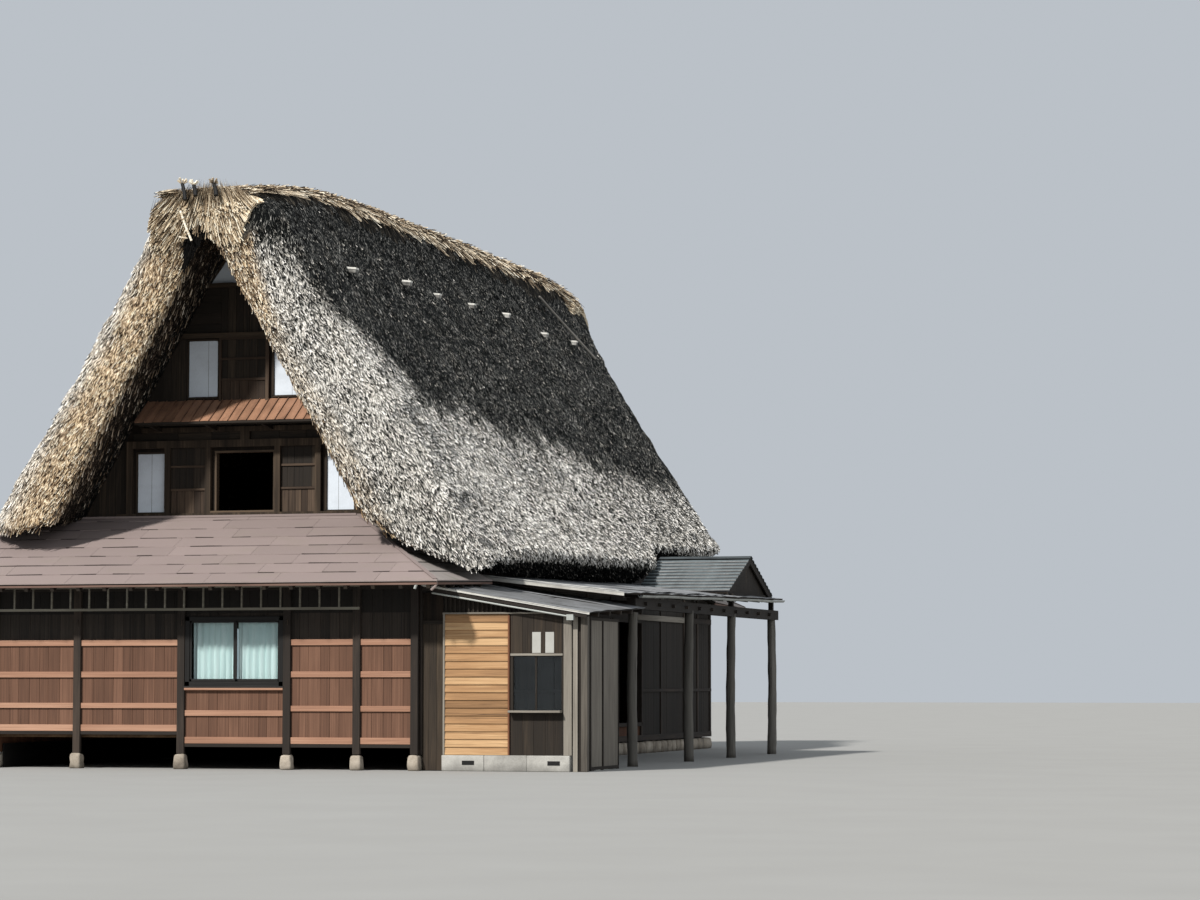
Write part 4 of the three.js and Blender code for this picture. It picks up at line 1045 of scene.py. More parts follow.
# ------------------------------------------------------------------ more materials
m_post = wood("post_wood", (0.09, 0.08, 0.07), (0.17, 0.145, 0.125), (0.33, 0.28, 0.24), 22)
m_board = wood("wall_board", (0.20, 0.135, 0.10), (0.385, 0.275, 0.215), (0.55, 0.41, 0.33), 40, 0.8, 0.4)
m_rail = wood("wall_rail", (0.38, 0.27, 0.21), (0.60, 0.45, 0.365), (0.76, 0.61, 0.51), 45, 0.7, 0.3)
m_dark = wood("old_board", (0.065, 0.055, 0.045), (0.165, 0.14, 0.115), (0.32, 0.27, 0.215), 34, 1.2, 0.6)
m_redboard = wood("red_board", (0.10, 0.08, 0.06), (0.225, 0.18, 0.145), (0.42, 0.35, 0.285), 34, 1.2, 0.6)
m_frame = wood("gable_frame", (0.10, 0.085, 0.07), (0.235, 0.195, 0.155), (0.42, 0.35, 0.28), 26)
m_black = wood("dark_frame", (0.045, 0.042, 0.04), (0.085, 0.08, 0.075), (0.15, 0.14, 0.13), 30, 1.0, 0.3, 0.6)
m_under_eave = wood("under_eave_board", (0.05, 0.045, 0.04), (0.125, 0.108, 0.094), (0.27, 0.235, 0.205), 40, 0.8, 0.4)
m_clap = wood("clapboard", (0.25, 0.17, 0.11), (0.625, 0.48, 0.335), (0.83, 0.70, 0.53), 26, 1.1, 0.6)
m_red = wood("red_trim", (0.24, 0.14, 0.09), (0.40, 0.255, 0.175), (0.54, 0.38, 0.28), 30, 1.0, 0.3)
m_grey = wood("grey_board", (0.22, 0.205, 0.185), (0.42, 0.395, 0.36), (0.60, 0.575, 0.53), 30, 1.2, 0.45)
m_log = wood("log", (0.18, 0.17, 0.155), (0.385, 0.37, 0.345), (0.60, 0.58, 0.55), 16, 1.0, 0.7)
m_floorwood = wood("floor_board", (0.24, 0.17, 0.12), (0.42, 0.31, 0.22), (0.55, 0.43, 0.32), 30)
m_beam = wood("roof_beam", (0.10, 0.075, 0.055), (0.22, 0.165, 0.12), (0.36, 0.28, 0.21), 14, 0.8)


def sheetmetal(name, base, dirt, rust=None, rough=0.5, spec=0.4, amount=0.45):
    """Painted or weathered sheet with streaks of dirt down the slope and faint dents."""
    m = Mat(name, rough, spec)
    g = m.attr("grain", True)
    streak = m.noise(m.scale(g, (0.9, 9.0, 9.0)), 1.0, 5, 0.6, 0.3)
    spots = m.noise(m.scale(m.pos(), (2.4, 2.4, 2.4)), 1.0, 6, 0.65)
    grit = m.noise(m.scale(m.pos(), (38, 38, 38)), 1.0, 3, 0.6)
    f = m.math("MULTIPLY_ADD", streak, 0.7, m.math("MULTIPLY_ADD", spots, 0.7, m.math("MULTIPLY_ADD", m.attr("tone"), 0.5, -0.55)), clamp=True)
    col = m.ramp(f, [(0.05, dirt), (0.45, base), (0.95, tuple(min(1, c * 1.18 + 0.04) for c in base))])
    col = m.mix(m.math("MULTIPLY", m.ramp(grit, [(0.35, 0.0), (0.65, 1.0)]), 0.18), col, dirt)
    if rust:
        k = m.ramp(m.noise(m.scale(g, (1.6, 5.0, 5.0)), 1.0, 6, 0.7, 0.5), [(0.56, 0.0), (0.70, 1.0)])
        col = m.mix(m.math("MULTIPLY", k, amount), col, rust)
    m.color(col)
    m.rough(m.math("MULTIPLY_ADD", spots, 0.35, rough - 0.15))
    m.bump(m.math("ADD", m.math("MULTIPLY", spots, 0.5), m.math("MULTIPLY", grit, 0.2)), 0.25, 0.01)
    return m.m


def shingle(name, dark, base, moss, amount):
    """Mineral-faced sheet: even colour, fine grit, faint weather marks, dark where the tone is low, which paints the
    shade in the seams.
    """
    m = Mat(name, 0.85, 0.15)
    grit = m.noise(m.scale(m.pos(), (60, 60, 60)), 1.0, 3, 0.6)
    soft = m.noise(m.scale(m.attr("grain", True), (0.8, 2.0, 2.0)), 1.0, 4, 0.55)
    f = m.math("ADD", m.attr("tone"), m.math("MULTIPLY_ADD", grit, 0.16, m.math("MULTIPLY_ADD", soft, 0.16, -0.16)), clamp=True)
    col = m.ramp(f, [(0.0, dark), (0.34, base), (0.95, tuple(min(1, c * 1.14) for c in base))])
    k = m.ramp(m.noise(m.scale(m.pos(), (1.3, 3.1, 1.0)), 1.0, 5, 0.6), [(0.52, 0.0), (0.72, 1.0)])
    m.color(m.mix(m.math("MULTIPLY", k, amount), col, moss))
    m.bump(grit, 0.15, 0.004)
    return m.m


m_shingle = shingle("shingle_sheet", (0.20, 0.17, 0.16), (0.505, 0.455, 0.44), (0.50, 0.47, 0.42), 0.25)
m_redmetal = sheetmetal("red_sheet", (0.58, 0.43, 0.335), (0.33, 0.24, 0.185), (0.27, 0.19, 0.145), 0.6, 0.3, 0.4)
m_sheet = sheetmetal("lean_to_sheet", (0.52, 0.525, 0.53), (0.30, 0.295, 0.29), (0.33, 0.26, 0.21), 0.55, 0.4, 0.35)
m_porch = sheetmetal("porch_sheet", (0.30, 0.33, 0.335), (0.08, 0.09, 0.095), (0.30, 0.27, 0.25), 0.45, 0.45, 0.2)
m_flash = sheetmetal("pale_trim", (0.74, 0.73, 0.70), (0.46, 0.44, 0.41), (0.40, 0.31, 0.24), 0.5, 0.4, 0.2)
m_shingle_side = shingle("shingle_side", (0.16, 0.15, 0.14), (0.53, 0.50, 0.48), (0.44, 0.44, 0.38), 0.45)
m_drip = sheetmetal("drip_edge", (0.52, 0.47, 0.45), (0.32, 0.28, 0.27), None, 0.6, 0.3)
m_fascia = wood("fascia_board", (0.20, 0.15, 0.13), (0.42, 0.33, 0.29), (0.58, 0.48, 0.43), 30, 1.0, 0.3)
m_peg = sheetmetal("peg", (0.80, 0.79, 0.76), (0.16, 0.15, 0.14), None, 0.7, 0.2)
m_gutter = sheetmetal("gutter", (0.58, 0.59, 0.57), (0.36, 0.36, 0.34), None, 0.5, 0.4)


def stone_mat(name, lo, mid, hi, s=1.0):
    m = Mat(name, 0.9, 0.2)
    p = m.pos()
    big = m.noise(m.scale(p, (4 * s, 4 * s, 4 * s)), 1.0, 6, 0.62, 0.3)
    grain = m.noise(m.scale(p, (60, 60, 60)), 1.0, 3, 0.6)
    f = m.math("MULTIPLY_ADD", big, 0.75, m.math("MULTIPLY_ADD", grain, 0.35, m.math("MULTIPLY_ADD", m.attr("tone"), 0.4, -0.27)), clamp=True)
    col = m.ramp(f, [(0.2, lo), (0.5, mid), (0.85, hi)])
    z = m.sep(p)[2]
    low = m.ramp(m.math("DIVIDE", m.math("ADD", z, m.math("MULTIPLY_ADD", big, 0.12, -0.06)), 0.14, clamp=True), [(0.0, 1.0), (1.0, 0.0)])
    col = m.mix(m.math("MULTIPLY", low, 0.55), col, tuple(c * 0.7 for c in lo))
    m.color(col)
    m.bump(m.math("ADD", big, m.math("MULTIPLY", grain, 0.35)), 0.6, 0.02)
    return m.m


m_stone = stone_mat("stone", (0.36, 0.325, 0.29), (0.585, 0.545, 0.49), (0.75, 0.71, 0.65))
m_conc = stone_mat("concrete", (0.44, 0.43, 0.41), (0.62, 0.61, 0.585), (0.76, 0.75, 0.72), 0.6)


def plaster(name, c, dirt, rough=0.7):
    m = Mat(name, rough, 0.25)
    p = m.pos()
    f = m.noise(m.scale(p, (1.6, 1.6, 2.6)), 1.0, 5, 0.6)
    fibre = m.noise(m.scale(p, (70, 70, 24)), 1.0, 3, 0.6)
    k = m.ramp(m.math("MULTIPLY_ADD", fibre, 0.3, m.math("MULTIPLY", f, 0.8)), [(0.38, 1.0), (0.62, 0.0)])
    m.color(m.mix(m.math("MULTIPLY", k, 0.35), c, dirt))
    m.bump(fibre, 0.12, 0.004)
    return m.m


m_panel = plaster("white_panel", (0.84, 0.87, 0.90), (0.64, 0.66, 0.68))
m_paper = plaster("blank_paper", (0.66, 0.655, 0.63), (0.52, 0.515, 0.49))


def glass_mat():
    m = Mat("window_glass", 0.06, 0.5)
    m.b.inputs["Transmission Weight"].default_value = 0.0
    t = m.nt.nodes.new("ShaderNodeBsdfTransparent")
    gl = m.nt.nodes.new("ShaderNodeBsdfGlossy")
    gl.inputs["Roughness"].default_value = 0.04
    mx = m.nt.nodes.new("ShaderNodeMixShader")
    t.inputs[0].default_value = (0.86, 0.90, 0.90, 1)
    m.nt.links.new(m.math("MULTIPLY_ADD", m.noise(m.scale(m.pos(), (3, 3, 3)), 1.0, 3), 0.03, 0.015), mx.inputs[0])
    m.nt.links.new(t.outputs[0], mx.inputs[1])
    m.nt.links.new(gl.outputs[0], mx.inputs[2])
    m.nt.links.new(mx.outputs[0], m.out.inputs[0])
    return m.m


m_glass = glass_mat()


def curtain_mat():
    m = Mat("curtain", 0.85, 0.15)
    p = m.pos()
    weave = m.noise(m.scale(p, (260, 260, 260)), 1.0, 2, 0.5)
    # vertical streaks painted lighter and darker, as the shading of the folds
    fold_shading = m.noise(m.scale(p, (12, 12, 0.9)), 1.0, 3, 0.5)
    z = m.sep(p)[2]
    # painted shade: the top of the curtain, under the eave, is mixed towards a dimmer colour
    top = m.ramp(m.math("DIVIDE", m.math("SUBTRACT", z, 2.0), 0.2, clamp=True), [(0.0, 0.0), (1.0, 1.0)])
    col = m.ramp(m.math("MULTIPLY_ADD", fold_shading, 0.8, m.math("MULTIPLY", weave, 0.2)), [(0.25, (0.80, 0.88, 0.87)), (0.7, (0.96, 0.98, 0.97))])
    col = m.mix(m.math("MULTIPLY", top, 0.25), col, (0.66, 0.76, 0.77))
    m.color(col)
    m.b.inputs["Sheen Weight"].default_value = 0.25
    m.bump(weave, 0.15, 0.002)
    return m.m


m_curtain = curtain_mat()


def paint(node, mat, slot=True):
    o = NODES[node]
    o.data.materials.clear()
    o.data.materials.append(mat)


# carried-over solids have no tone or grain values of their own, so they get materials that read only places
def plain_wood(name, dark, mid, pale, along, streak=24.0):
    m = Mat(name, 0.85, 0.2)
    s = [streak] * 3
    s["xyz".index(along)] = 1.0
    p = m.pos()
    fine = m.noise(m.scale(p, tuple(s)), 1.0, 5, 0.6, 0.5)
    b = [6.5] * 3
    b["xyz".index(along)] = 0.25
    broad = m.noise(m.scale(p, tuple(b)), 1.0, 2, 0.5)
    col = m.ramp(m.math("MULTIPLY_ADD", fine, 0.6, m.math("MULTIPLY_ADD", broad, 0.5, -0.05), clamp=True), [(0.2, dark), (0.5, mid), (0.8, pale)])
    m.color(col)
    m.bump(fine, 0.3, 0.006)
    return m.m


p_dark_z = plain_wood("old_wall_z", (0.05, 0.042, 0.034), (0.12, 0.095, 0.075), (0.22, 0.175, 0.135), "z")
p_board_z = plain_wood("wall_back_z", (0.20, 0.13, 0.09), (0.33, 0.22, 0.16), (0.44, 0.31, 0.23), "z")
p_floor_y = plain_wood("floor_y", (0.20, 0.15, 0.11), (0.36, 0.28, 0.20), (0.50, 0.40, 0.30), "y")
p_beam_x = plain_wood("beam_x", (0.09, 0.07, 0.05), (0.20, 0.155, 0.115), (0.34, 0.27, 0.20), "z")
p_frame = plain_wood("frame_z", (0.09, 0.078, 0.065), (0.215, 0.18, 0.145), (0.38, 0.32, 0.26), "z")
p_ladder = plain_wood("ladder_wood", (0.26, 0.245, 0.215), (0.45, 0.43, 0.385), (0.62, 0.60, 0.55), "x")
for n in ("front_gable_wall_lower", "front_gable_wall_upper", "rear_gable_wall_lower", "rear_gable_wall_upper", "annex_dark_boards", "right_wall_upper", "porch_gable"):
    paint(n, p_dark_z)
for n in ("front_wall", "left_wall", "right_wall", "rear_wall"):
    paint(n, p_board_z)
for n in ("ground_floor", "attic_floor", "upper_attic_floor"):
    paint(n, p_floor_y)
for n in ("roof_frame_1", "roof_frame_2", "roof_frame_3"):
    paint(n, p_beam_x)
for n in ("front_gable_frame", "rear_gable_frame"):
    paint(n, p_frame)
paint("eave_ladder", p_ladder)
for n in ("gable_panel_lower_left", "gable_panel_lower_right", "gable_panel_upper_left", "gable_panel_upper_right", "gable_panel_top", "rear_gable_panels"):
    paint(n, m_panel)
for n in ("window_glass", "left_window_glass", "rear_window_glass", "annex_shop_glass"):
    paint(n, m_glass)

MID = 9.31


def rear_of(geo):
    """The same pieces turned round to the back of the house."""
    out = Geo(99)
    out.v = [v * np.array([-1.0, -1.0, 1.0]) + np.array([0, 2 * MID, 0]) for v in geo.v]
    out.q, out.t, out.tone, out.gold, out.g, out.n = list(geo.q), list(geo.t), list(geo.tone), list(geo.gold), list(geo.g), geo.n
    return out


def strips(r, a, b, wide, gap=0.003):
    """Boards of varied width that fill a to b."""
    out, x = [], a
    while x < b - 1e-6:
        w = min(r.uniform(*wide), b - x)
        if b - (x + w) < wide[0] * 0.6:
            w = b - x
        out.append((x + gap / 2, x + w - gap / 2))
        x += w
    return out


# ------------------------------------------------------------------ front and rear walls
POSTS = [-3.636, -2.154, -0.334, 1.486, 2.666, 3.636]
WIN = (-0.27, 1.42, 1.31, 2.44)


def front_wall():
    r = np.random.default_rng(101)
    boards, rails, frame_, high = Geo(102), Geo(103), Geo(104), Geo(105)
    low = [0.60, 0.60, 0.41, 0.41, 0.41]
    third = [(0.97, 1.055), (0.97, 1.055), (0.85, 0.94), (0.925, 1.015), (0.925, 1.015)]
    for b in range(5):
        x0, x1 = POSTS[b] + 0.062, POSTS[b + 1] - 0.062
        for a, c in strips(r, x0, x1, (0.13, 0.21)):
            tone = r.uniform(0.34, 0.7)
            spans = [(low[b] + 0.05, 3.03)]
            if b == 2 and c > WIN[0] and a < WIN[1]:
                spans = [(low[b] + 0.05, WIN[2]), (WIN[3], 3.03)]
            for z0, z1 in spans:
                # boards above the top rail use a darker wood: partly less bleached under the eave, mostly painted eave
                # shade, darkest above 2.49 m
                if z1 > 3:
                    deep = -0.010 - r.uniform(0, 0.002)
                    zs = max(z0, 2.072)
                    if zs < 2.49 < z1:
                        high.box(a, deep, zs, c, -0.0005, 2.49, tone=0.45 + 0.6 * tone, along="z")
                        zs = 2.49
                    high.box(a, deep, zs, c, -0.0005, z1, tone=0.5 * tone, along="z")
                    z1 = 2.071
                if z1 > z0:
                    boards.box(a, -0.014 - r.uniform(0, 0.003), z0, c, -0.0005, z1, tone=tone, along="z")
        rows = [(low[b] - 0.0, low[b] + 0.105), third[b]]
        if b != 2:
            rows += [(1.466, 1.56), (1.975, 2.07)]
        for z0, z1 in rows:
            rails.box(x0, -0.045, z0, x1, -0.014, z1, tone=r.uniform(0.35, 0.75), warp=0.001)
        if b == 2:
            rails.box(x0, -0.075, 1.262, x1, -0.014, 1.31, tone=0.75)
        frame_.box(x0 - 0.03, -0.05, low[b] - 0.055, x1 + 0.03, -0.006, low[b] - 0.002, tone=0.3)
    for x in POSTS:
        z0 = 0.25
        frame_.box(x - 0.062, -0.070, z0, x + 0.062, -0.0005, 3.2, tone=r.uniform(0.3, 0.7), along="z", warp=0.002)
    frame_.box(-3.696, -0.094, 3.03, 3.696, -0.0005, 3.19, tone=0.4)
    frame_.box(-3.60, -0.060, 2.86, 3.60, -0.0145, 2.93, tone=0.35)
    for x in (POSTS[1], POSTS[2], POSTS[3]):  # bent hooks at the post heads
        frame_.tube([(x + 0.02, -0.07, 2.40), (x + 0.02, -0.085, 2.37), (x + 0.02, -0.086, 2.32), (x + 0.02, -0.075, 2.30)], 0.006, 6, tone=0.9)
    boards.make("front_boards", m_board, "boards", bevel=0.003)
    rails.make("front_rails", m_rail, "boards", bevel=0.004)
    frame_.make("front_posts", m_post, "timber", "front_frame", bevel=0.006)
    high.make("front_boards_high", m_under_eave, "boards", bevel=0.002)
    rear_of(high).make("rear_boards_high", m_under_eave, "boards", bevel=0.002)
    rear_of(boards).make("rear_boards", m_board, "boards", bevel=0.003)
    rear_of(rails).make("rear_rails", m_rail, "boards", bevel=0.004)
    rear_of(frame_).make("rear_posts", m_post, "timber", "rear_frame", bevel=0.006)


front_wall()


def window():
    """The sliding window: dark outer frame, two sashes on their tracks, a pale sill."""
    g = Geo(111)
    x0, x1, z0, z1 = WIN
    xm = 0.5875
    for a, b, c, d in ((x0, z0 + 0.001, x1, z0 + 0.09), (x0, z1 - 0.068, x1, z1 - 0.001), (x0 + 0.001, z0, x0 + 0.08, z1), (x1 - 0.075, z0, x1 - 0.001, z1)):
        g.box(a, -0.055, b, c, 0.044, d, tone=r0.uniform(0.3, 0.6))
    for (a, c, y) in ((x0 + 0.08, xm + 0.035, -0.028), (xm - 0.035, x1 - 0.075, -0.006)):
        w = 0.032
        for q in ((a, z0 + 0.09, a + w, z1 - 0.068), (c - w, z0 + 0.09, c, z1 - 0.068), (a, z0 + 0.09, c, z0 + 0.09 + w + 0.01), (a, z1 - 0.068 - w, c, z1 - 0.068)):
            g.box(q[0], y - 0.012, q[1], q[2], y + 0.008, q[3], tone=0.75)
    g.box(x0 - 0.02, -0.078, z0 - 0.012, x1 + 0.02, -0.05, z0 + 0.018, tone=0.95)
    return g


r0 = np.random.default_rng(5)
w = window()
w.make("window_sashes", m_black, "timber", "window_frame", bevel=0.003)
rear_of(w).make("rear_window_sashes", m_black, "timber", bevel=0.003)


def curtain(name, x0, x1, z0, z1, y, node, seed, flip_y=False):
    """Gathered cloth: soft pleats that open towards the hem."""
    r = np.random.default_rng(seed)
    n, k = 120, 14
    u = np.linspace(0, 1, n)
    v = np.linspace(0, 1, k)
    U, V = np.meshgrid(u, v, indexing="ij")
    ph = (U + 0.02 * (vnoise(U * 7, V * 1.5, 0, seed) - 0.5)) * (x1 - x0) / 0.108 * 2 * np.pi
    amp = 0.0105 + 0.005 * V + 0.003 * (vnoise(U * 5, V * 2, 3, seed) - 0.5)
    Y = y + np.sin(ph) * amp + 0.15 * amp * np.sin(2.1 * ph + 1)
    X = x0 + 0.004 + (x1 - x0 - 0.008) * U + 0.006 * np.cos(ph) * V
    Z = z1 - (z1 - z0) * V - 0.004 * np.sin(ph * 0.5 + 1) * V
    P = np.stack([X, Y, Z], -1)
    geo = Geo(seed)
    q = np.arange(n - 1)[:, None] * k + np.arange(k - 1)[None]
    q = np.stack([q, q + 1, q + k + 1, q + k], -1).reshape(-1, 4)
    geo.put(P, q, tone=0.5)
    o = geo.make(name, m_curtain, "curtain", node, smooth=True)
    s = o.modifiers.new("cloth", "SOLIDIFY")
    s.thickness, s.offset = 0.0012, 0


curtain("curtain_left_cloth", -0.183, 0.573, 1.335, 2.395, 0.095, "curtain_left", 121)
curtain("curtain_right_cloth", 0.592, 1.338, 1.335, 2.395, 0.095, "curtain_right", 122)


# ------------------------------------------------------------------ stones
def rock(geo, x0, y0, z0, x1, y1, z1, n=4, rough=0.02, taper=0.0, tone=None, seed=1):
    """A hewn block: a box with worn corners and a rough face."""
    r = geo.r
    tone = r.uniform(0.2, 0.9) if tone is None else tone
    u = np.linspace(-1, 1, n + 1)
    faces = []
    for ax in range(3):
        for sgn in (-1, 1):
            A, B = np.meshgrid(u, u, indexing="ij")
            p = np.zeros(A.shape + (3,))
            o = [i for i in range(3) if i != ax]
            p[..., o[0]], p[..., o[1]], p[..., ax] = A, B, sgn
            faces.append((p.reshape(-1, 3), (ax, sgn)))
    keys, verts, quads = {}, [], []
    for p, (ax, sgn) in faces:
        ids = []
        for c in p:
            k = tuple(np.round(c, 5))
            if k not in keys:
                keys[k] = len(verts)
                verts.append(c)
            ids.append(keys[k])
        ids = np.array(ids).reshape(n + 1, n + 1)
        q = np.stack([ids[:-1, :-1], ids[1:, :-1], ids[1:, 1:], ids[:-1, 1:]], -1).reshape(-1, 4)
        want = sgn if ax != 1 else -sgn
        quads.append(q if want > 0 else q[:, ::-1])
    v = np.array(verts)
    m = np.abs(v)
    l4 = (m**6).sum(1) ** (1 / 6)
    v = v / l4[:, None] * np.minimum(1.0, l4)[:, None]
    c, h = np.array([x0 + x1, y0 + y1, z0 + z1]) / 2, np.array([x1 - x0, y1 - y0, z1 - z0]) / 2
    f = 1 - taper * (v[:, 2:3] + 1) / 2
    w = v * np.concatenate([f, f, np.ones_like(f)], 1)
    P = c + w * h
    s = seed + int(r.integers(1, 900))
    nz = np.stack([vnoise(P[:, 0] * 11 + s, P[:, 1] * 11, P[:, 2] * 11, k) - 0.5 for k in (1, 2, 3)], 1)
    P = P - unit(v) * rough * 0.5 + nz * rough
    P = np.clip(P, [x0, y0, max(0, z0)], [x1, y1, z1])
    geo.put(P, np.concatenate(quads), tone=tone, g=P)


g = Geo(131)
for i, x in enumerate(POSTS):
    rock(g, x - 0.112, -0.139, -0.02, x + 0.112, 0.079, 0.251, 7, 0.022, 0.16)
g.make("post_stones", m_stone, "stone", *[f"stone_pad_{i}" for i in range(1, 7)], smooth=True)

g = Geo(132)
for x0 in (-3.726, 3.546):
    y = 0.11
    while y < 18.72:
        L = min(g.r.uniform(0.28, 0.52), 18.73 - y)
        if 18.73 - (y + L) < 0.2:
            L = 18.73 - y
        rock(g, x0, y, -0.03, x0 + 0.18, y + L - 0.006, 0.249, 3, 0.028, 0.03)
        y += L
x = -3.54
while x < 3.54:
    L = min(g.r.uniform(0.28, 0.52), 3.54 - x)
    if 3.54 - (x + L) < 0.2:
        L = 3.54 - x
    rock(g, x, 18.53, -0.03, x + L - 0.006, 18.73, 0.249, 3, 0.028, 0.03)
    x += L
g.make("plinth_stones", m_stone, "stone", "stone_plinth", smooth=True)
# inner boards that close the joint between the stones and the walls
g = Geo(133)
for x0 in (-3.545, 3.530):
    g.box(x0, 0.12, 0.001, x0 + 0.015, 18.51, 0.395, tone=0.2)
g.box(-3.53, 18.50, 0.001, 3.53, 18.515, 0.395, tone=0.2)
g.make("inner_skirts", m_black, "timber")


# ------------------------------------------------------------------ side walls
def side_wall(right):
    r = np.random.default_rng(141 + right)
    sx = 1 if right else -1
    boards, posts = Geo(142), Geo(143)
    holes = [(11.0, 13.0, 0.60, 2.55)] if right else [(3.2, 4.88, 1.31, 2.44), (9.4, 11.08, 1.31, 2.44)]

    def top(y):
        e = min(y, 2 * MID - y)
        if e > 1.75:
            return 3.50
        return 3.19 if right else min(3.86, 3.285 + 0.46 * e)

    def bx(g, xa, xb, y0, y1, z0, z1, **kw):
        a, b = sorted((sx * xa, sx * xb))
        g.box(a, y0, z0, b, y1, z1, **kw)

    for a, c in strips(r, 0.07, 18.55, (0.15, 0.24)):
        # the right wall, under the lean-to roofs, has dark old wood and its tone halved: partly its own colour, partly
        # painted shade
        t = r.uniform(0.15, 0.8) * (0.5 if right else 1.0)
        spans = [(0.27, min(top(a), top(c)))]
        for h0, h1, z0, z1 in holes:
            if c > h0 and a < h1:
                spans = ([(0.27, z0)] if z0 > 0.7 else []) + [(z1, min(top(a), top(c)))]
        for z0, z1 in spans:
            bx(boards, 3.6965, 3.709 + r.uniform(0, 0.004), a, c, z0, z1, tone=t, along="z")
    ys = [0.07, 1.818, 3.636 - 0.5, 4.95, 7.272, 9.33, 11.15 if not right else 10.93, 13.07, 14.544, 16.362, 17.45, 18.50]
    for y in ys:
        bx(posts, 3.6965, 3.735, y - 0.055, y + 0.055, 0.252, min(top(y), 3.19), tone=r.uniform(0.3, 0.7), along="z")
    for z0, z1, cut in ((0.252, 0.36, False), (1.20, 1.26, True), (2.60, 2.71, False), (3.08, 3.18, False)):
        runs = [(0.07, 18.55)]
        if cut:
            for h0, h1, _, _ in holes:
                runs = [s for a, b in runs for s in ([(a, h0), (h1, b)] if a < h0 and b > h1 else [(a, b)])]
        for a, b in runs:
            bx(posts, 3.7095, 3.742, a, b, z0, z1, tone=r.uniform(0.4, 0.8))
    for h0, h1, z0, z1 in holes:
        for (a, b, c, d) in ((h0 - 0.05, h0 + 0.01, z0 - 0.05, z1 + 0.05), (h1 - 0.01, h1 + 0.05, z0 - 0.05, z1 + 0.05), (h0 - 0.05, h1 + 0.05, z1 - 0.01, z1 + 0.06), (h0 - 0.05, h1 + 0.05, z0 - 0.06, z0 + 0.01)):
            bx(posts, 3.62, 3.75, a, b, c, d, tone=0.5)
        if z0 > 1:
            m_ = (h0 + h1) / 2
            for y in (m_ - 0.035, h0 + 0.01, h1 - 0.06):
                bx(posts, 3.64, 3.68, y, y + 0.05, z0, z1, tone=0.5)
    tag = "right" if right else "left"
    boards.make(f"{tag}_wall_boards", m_board if not right else m_dark, "boards", bevel=0.003)
    posts.make(f"{tag}_wall_posts", m_post, "timber", bevel=0.005)


side_wall(True)
side_wall(False)
# boards of the raised wall over the porch
g = Geo(151)
for a, c in strips(g.r, 11.9, 17.1, (0.16, 0.24)):
    g.box(3.6905, a, 3.512, 3.704, c, 3.798, along="z")
g.make("right_upper_boards", m_dark, "dark_boards")


# ------------------------------------------------------------------ pent roofs
def mirror_back(geo):
    """The same pieces mirrored to the back of the house."""
    out = Geo(98)
    out.v = [v * np.array([1.0, -1.0, 1.0]) + np.array([0, 2 * MID, 0]) for v in geo.v]
    out.q, out.t = [q[:, ::-1] for q in geo.q], [t[:, ::-1] for t in geo.t]
    out.tone, out.gold, out.g, out.n = list(geo.tone), list(geo.gold), list(geo.g), geo.n
    return out


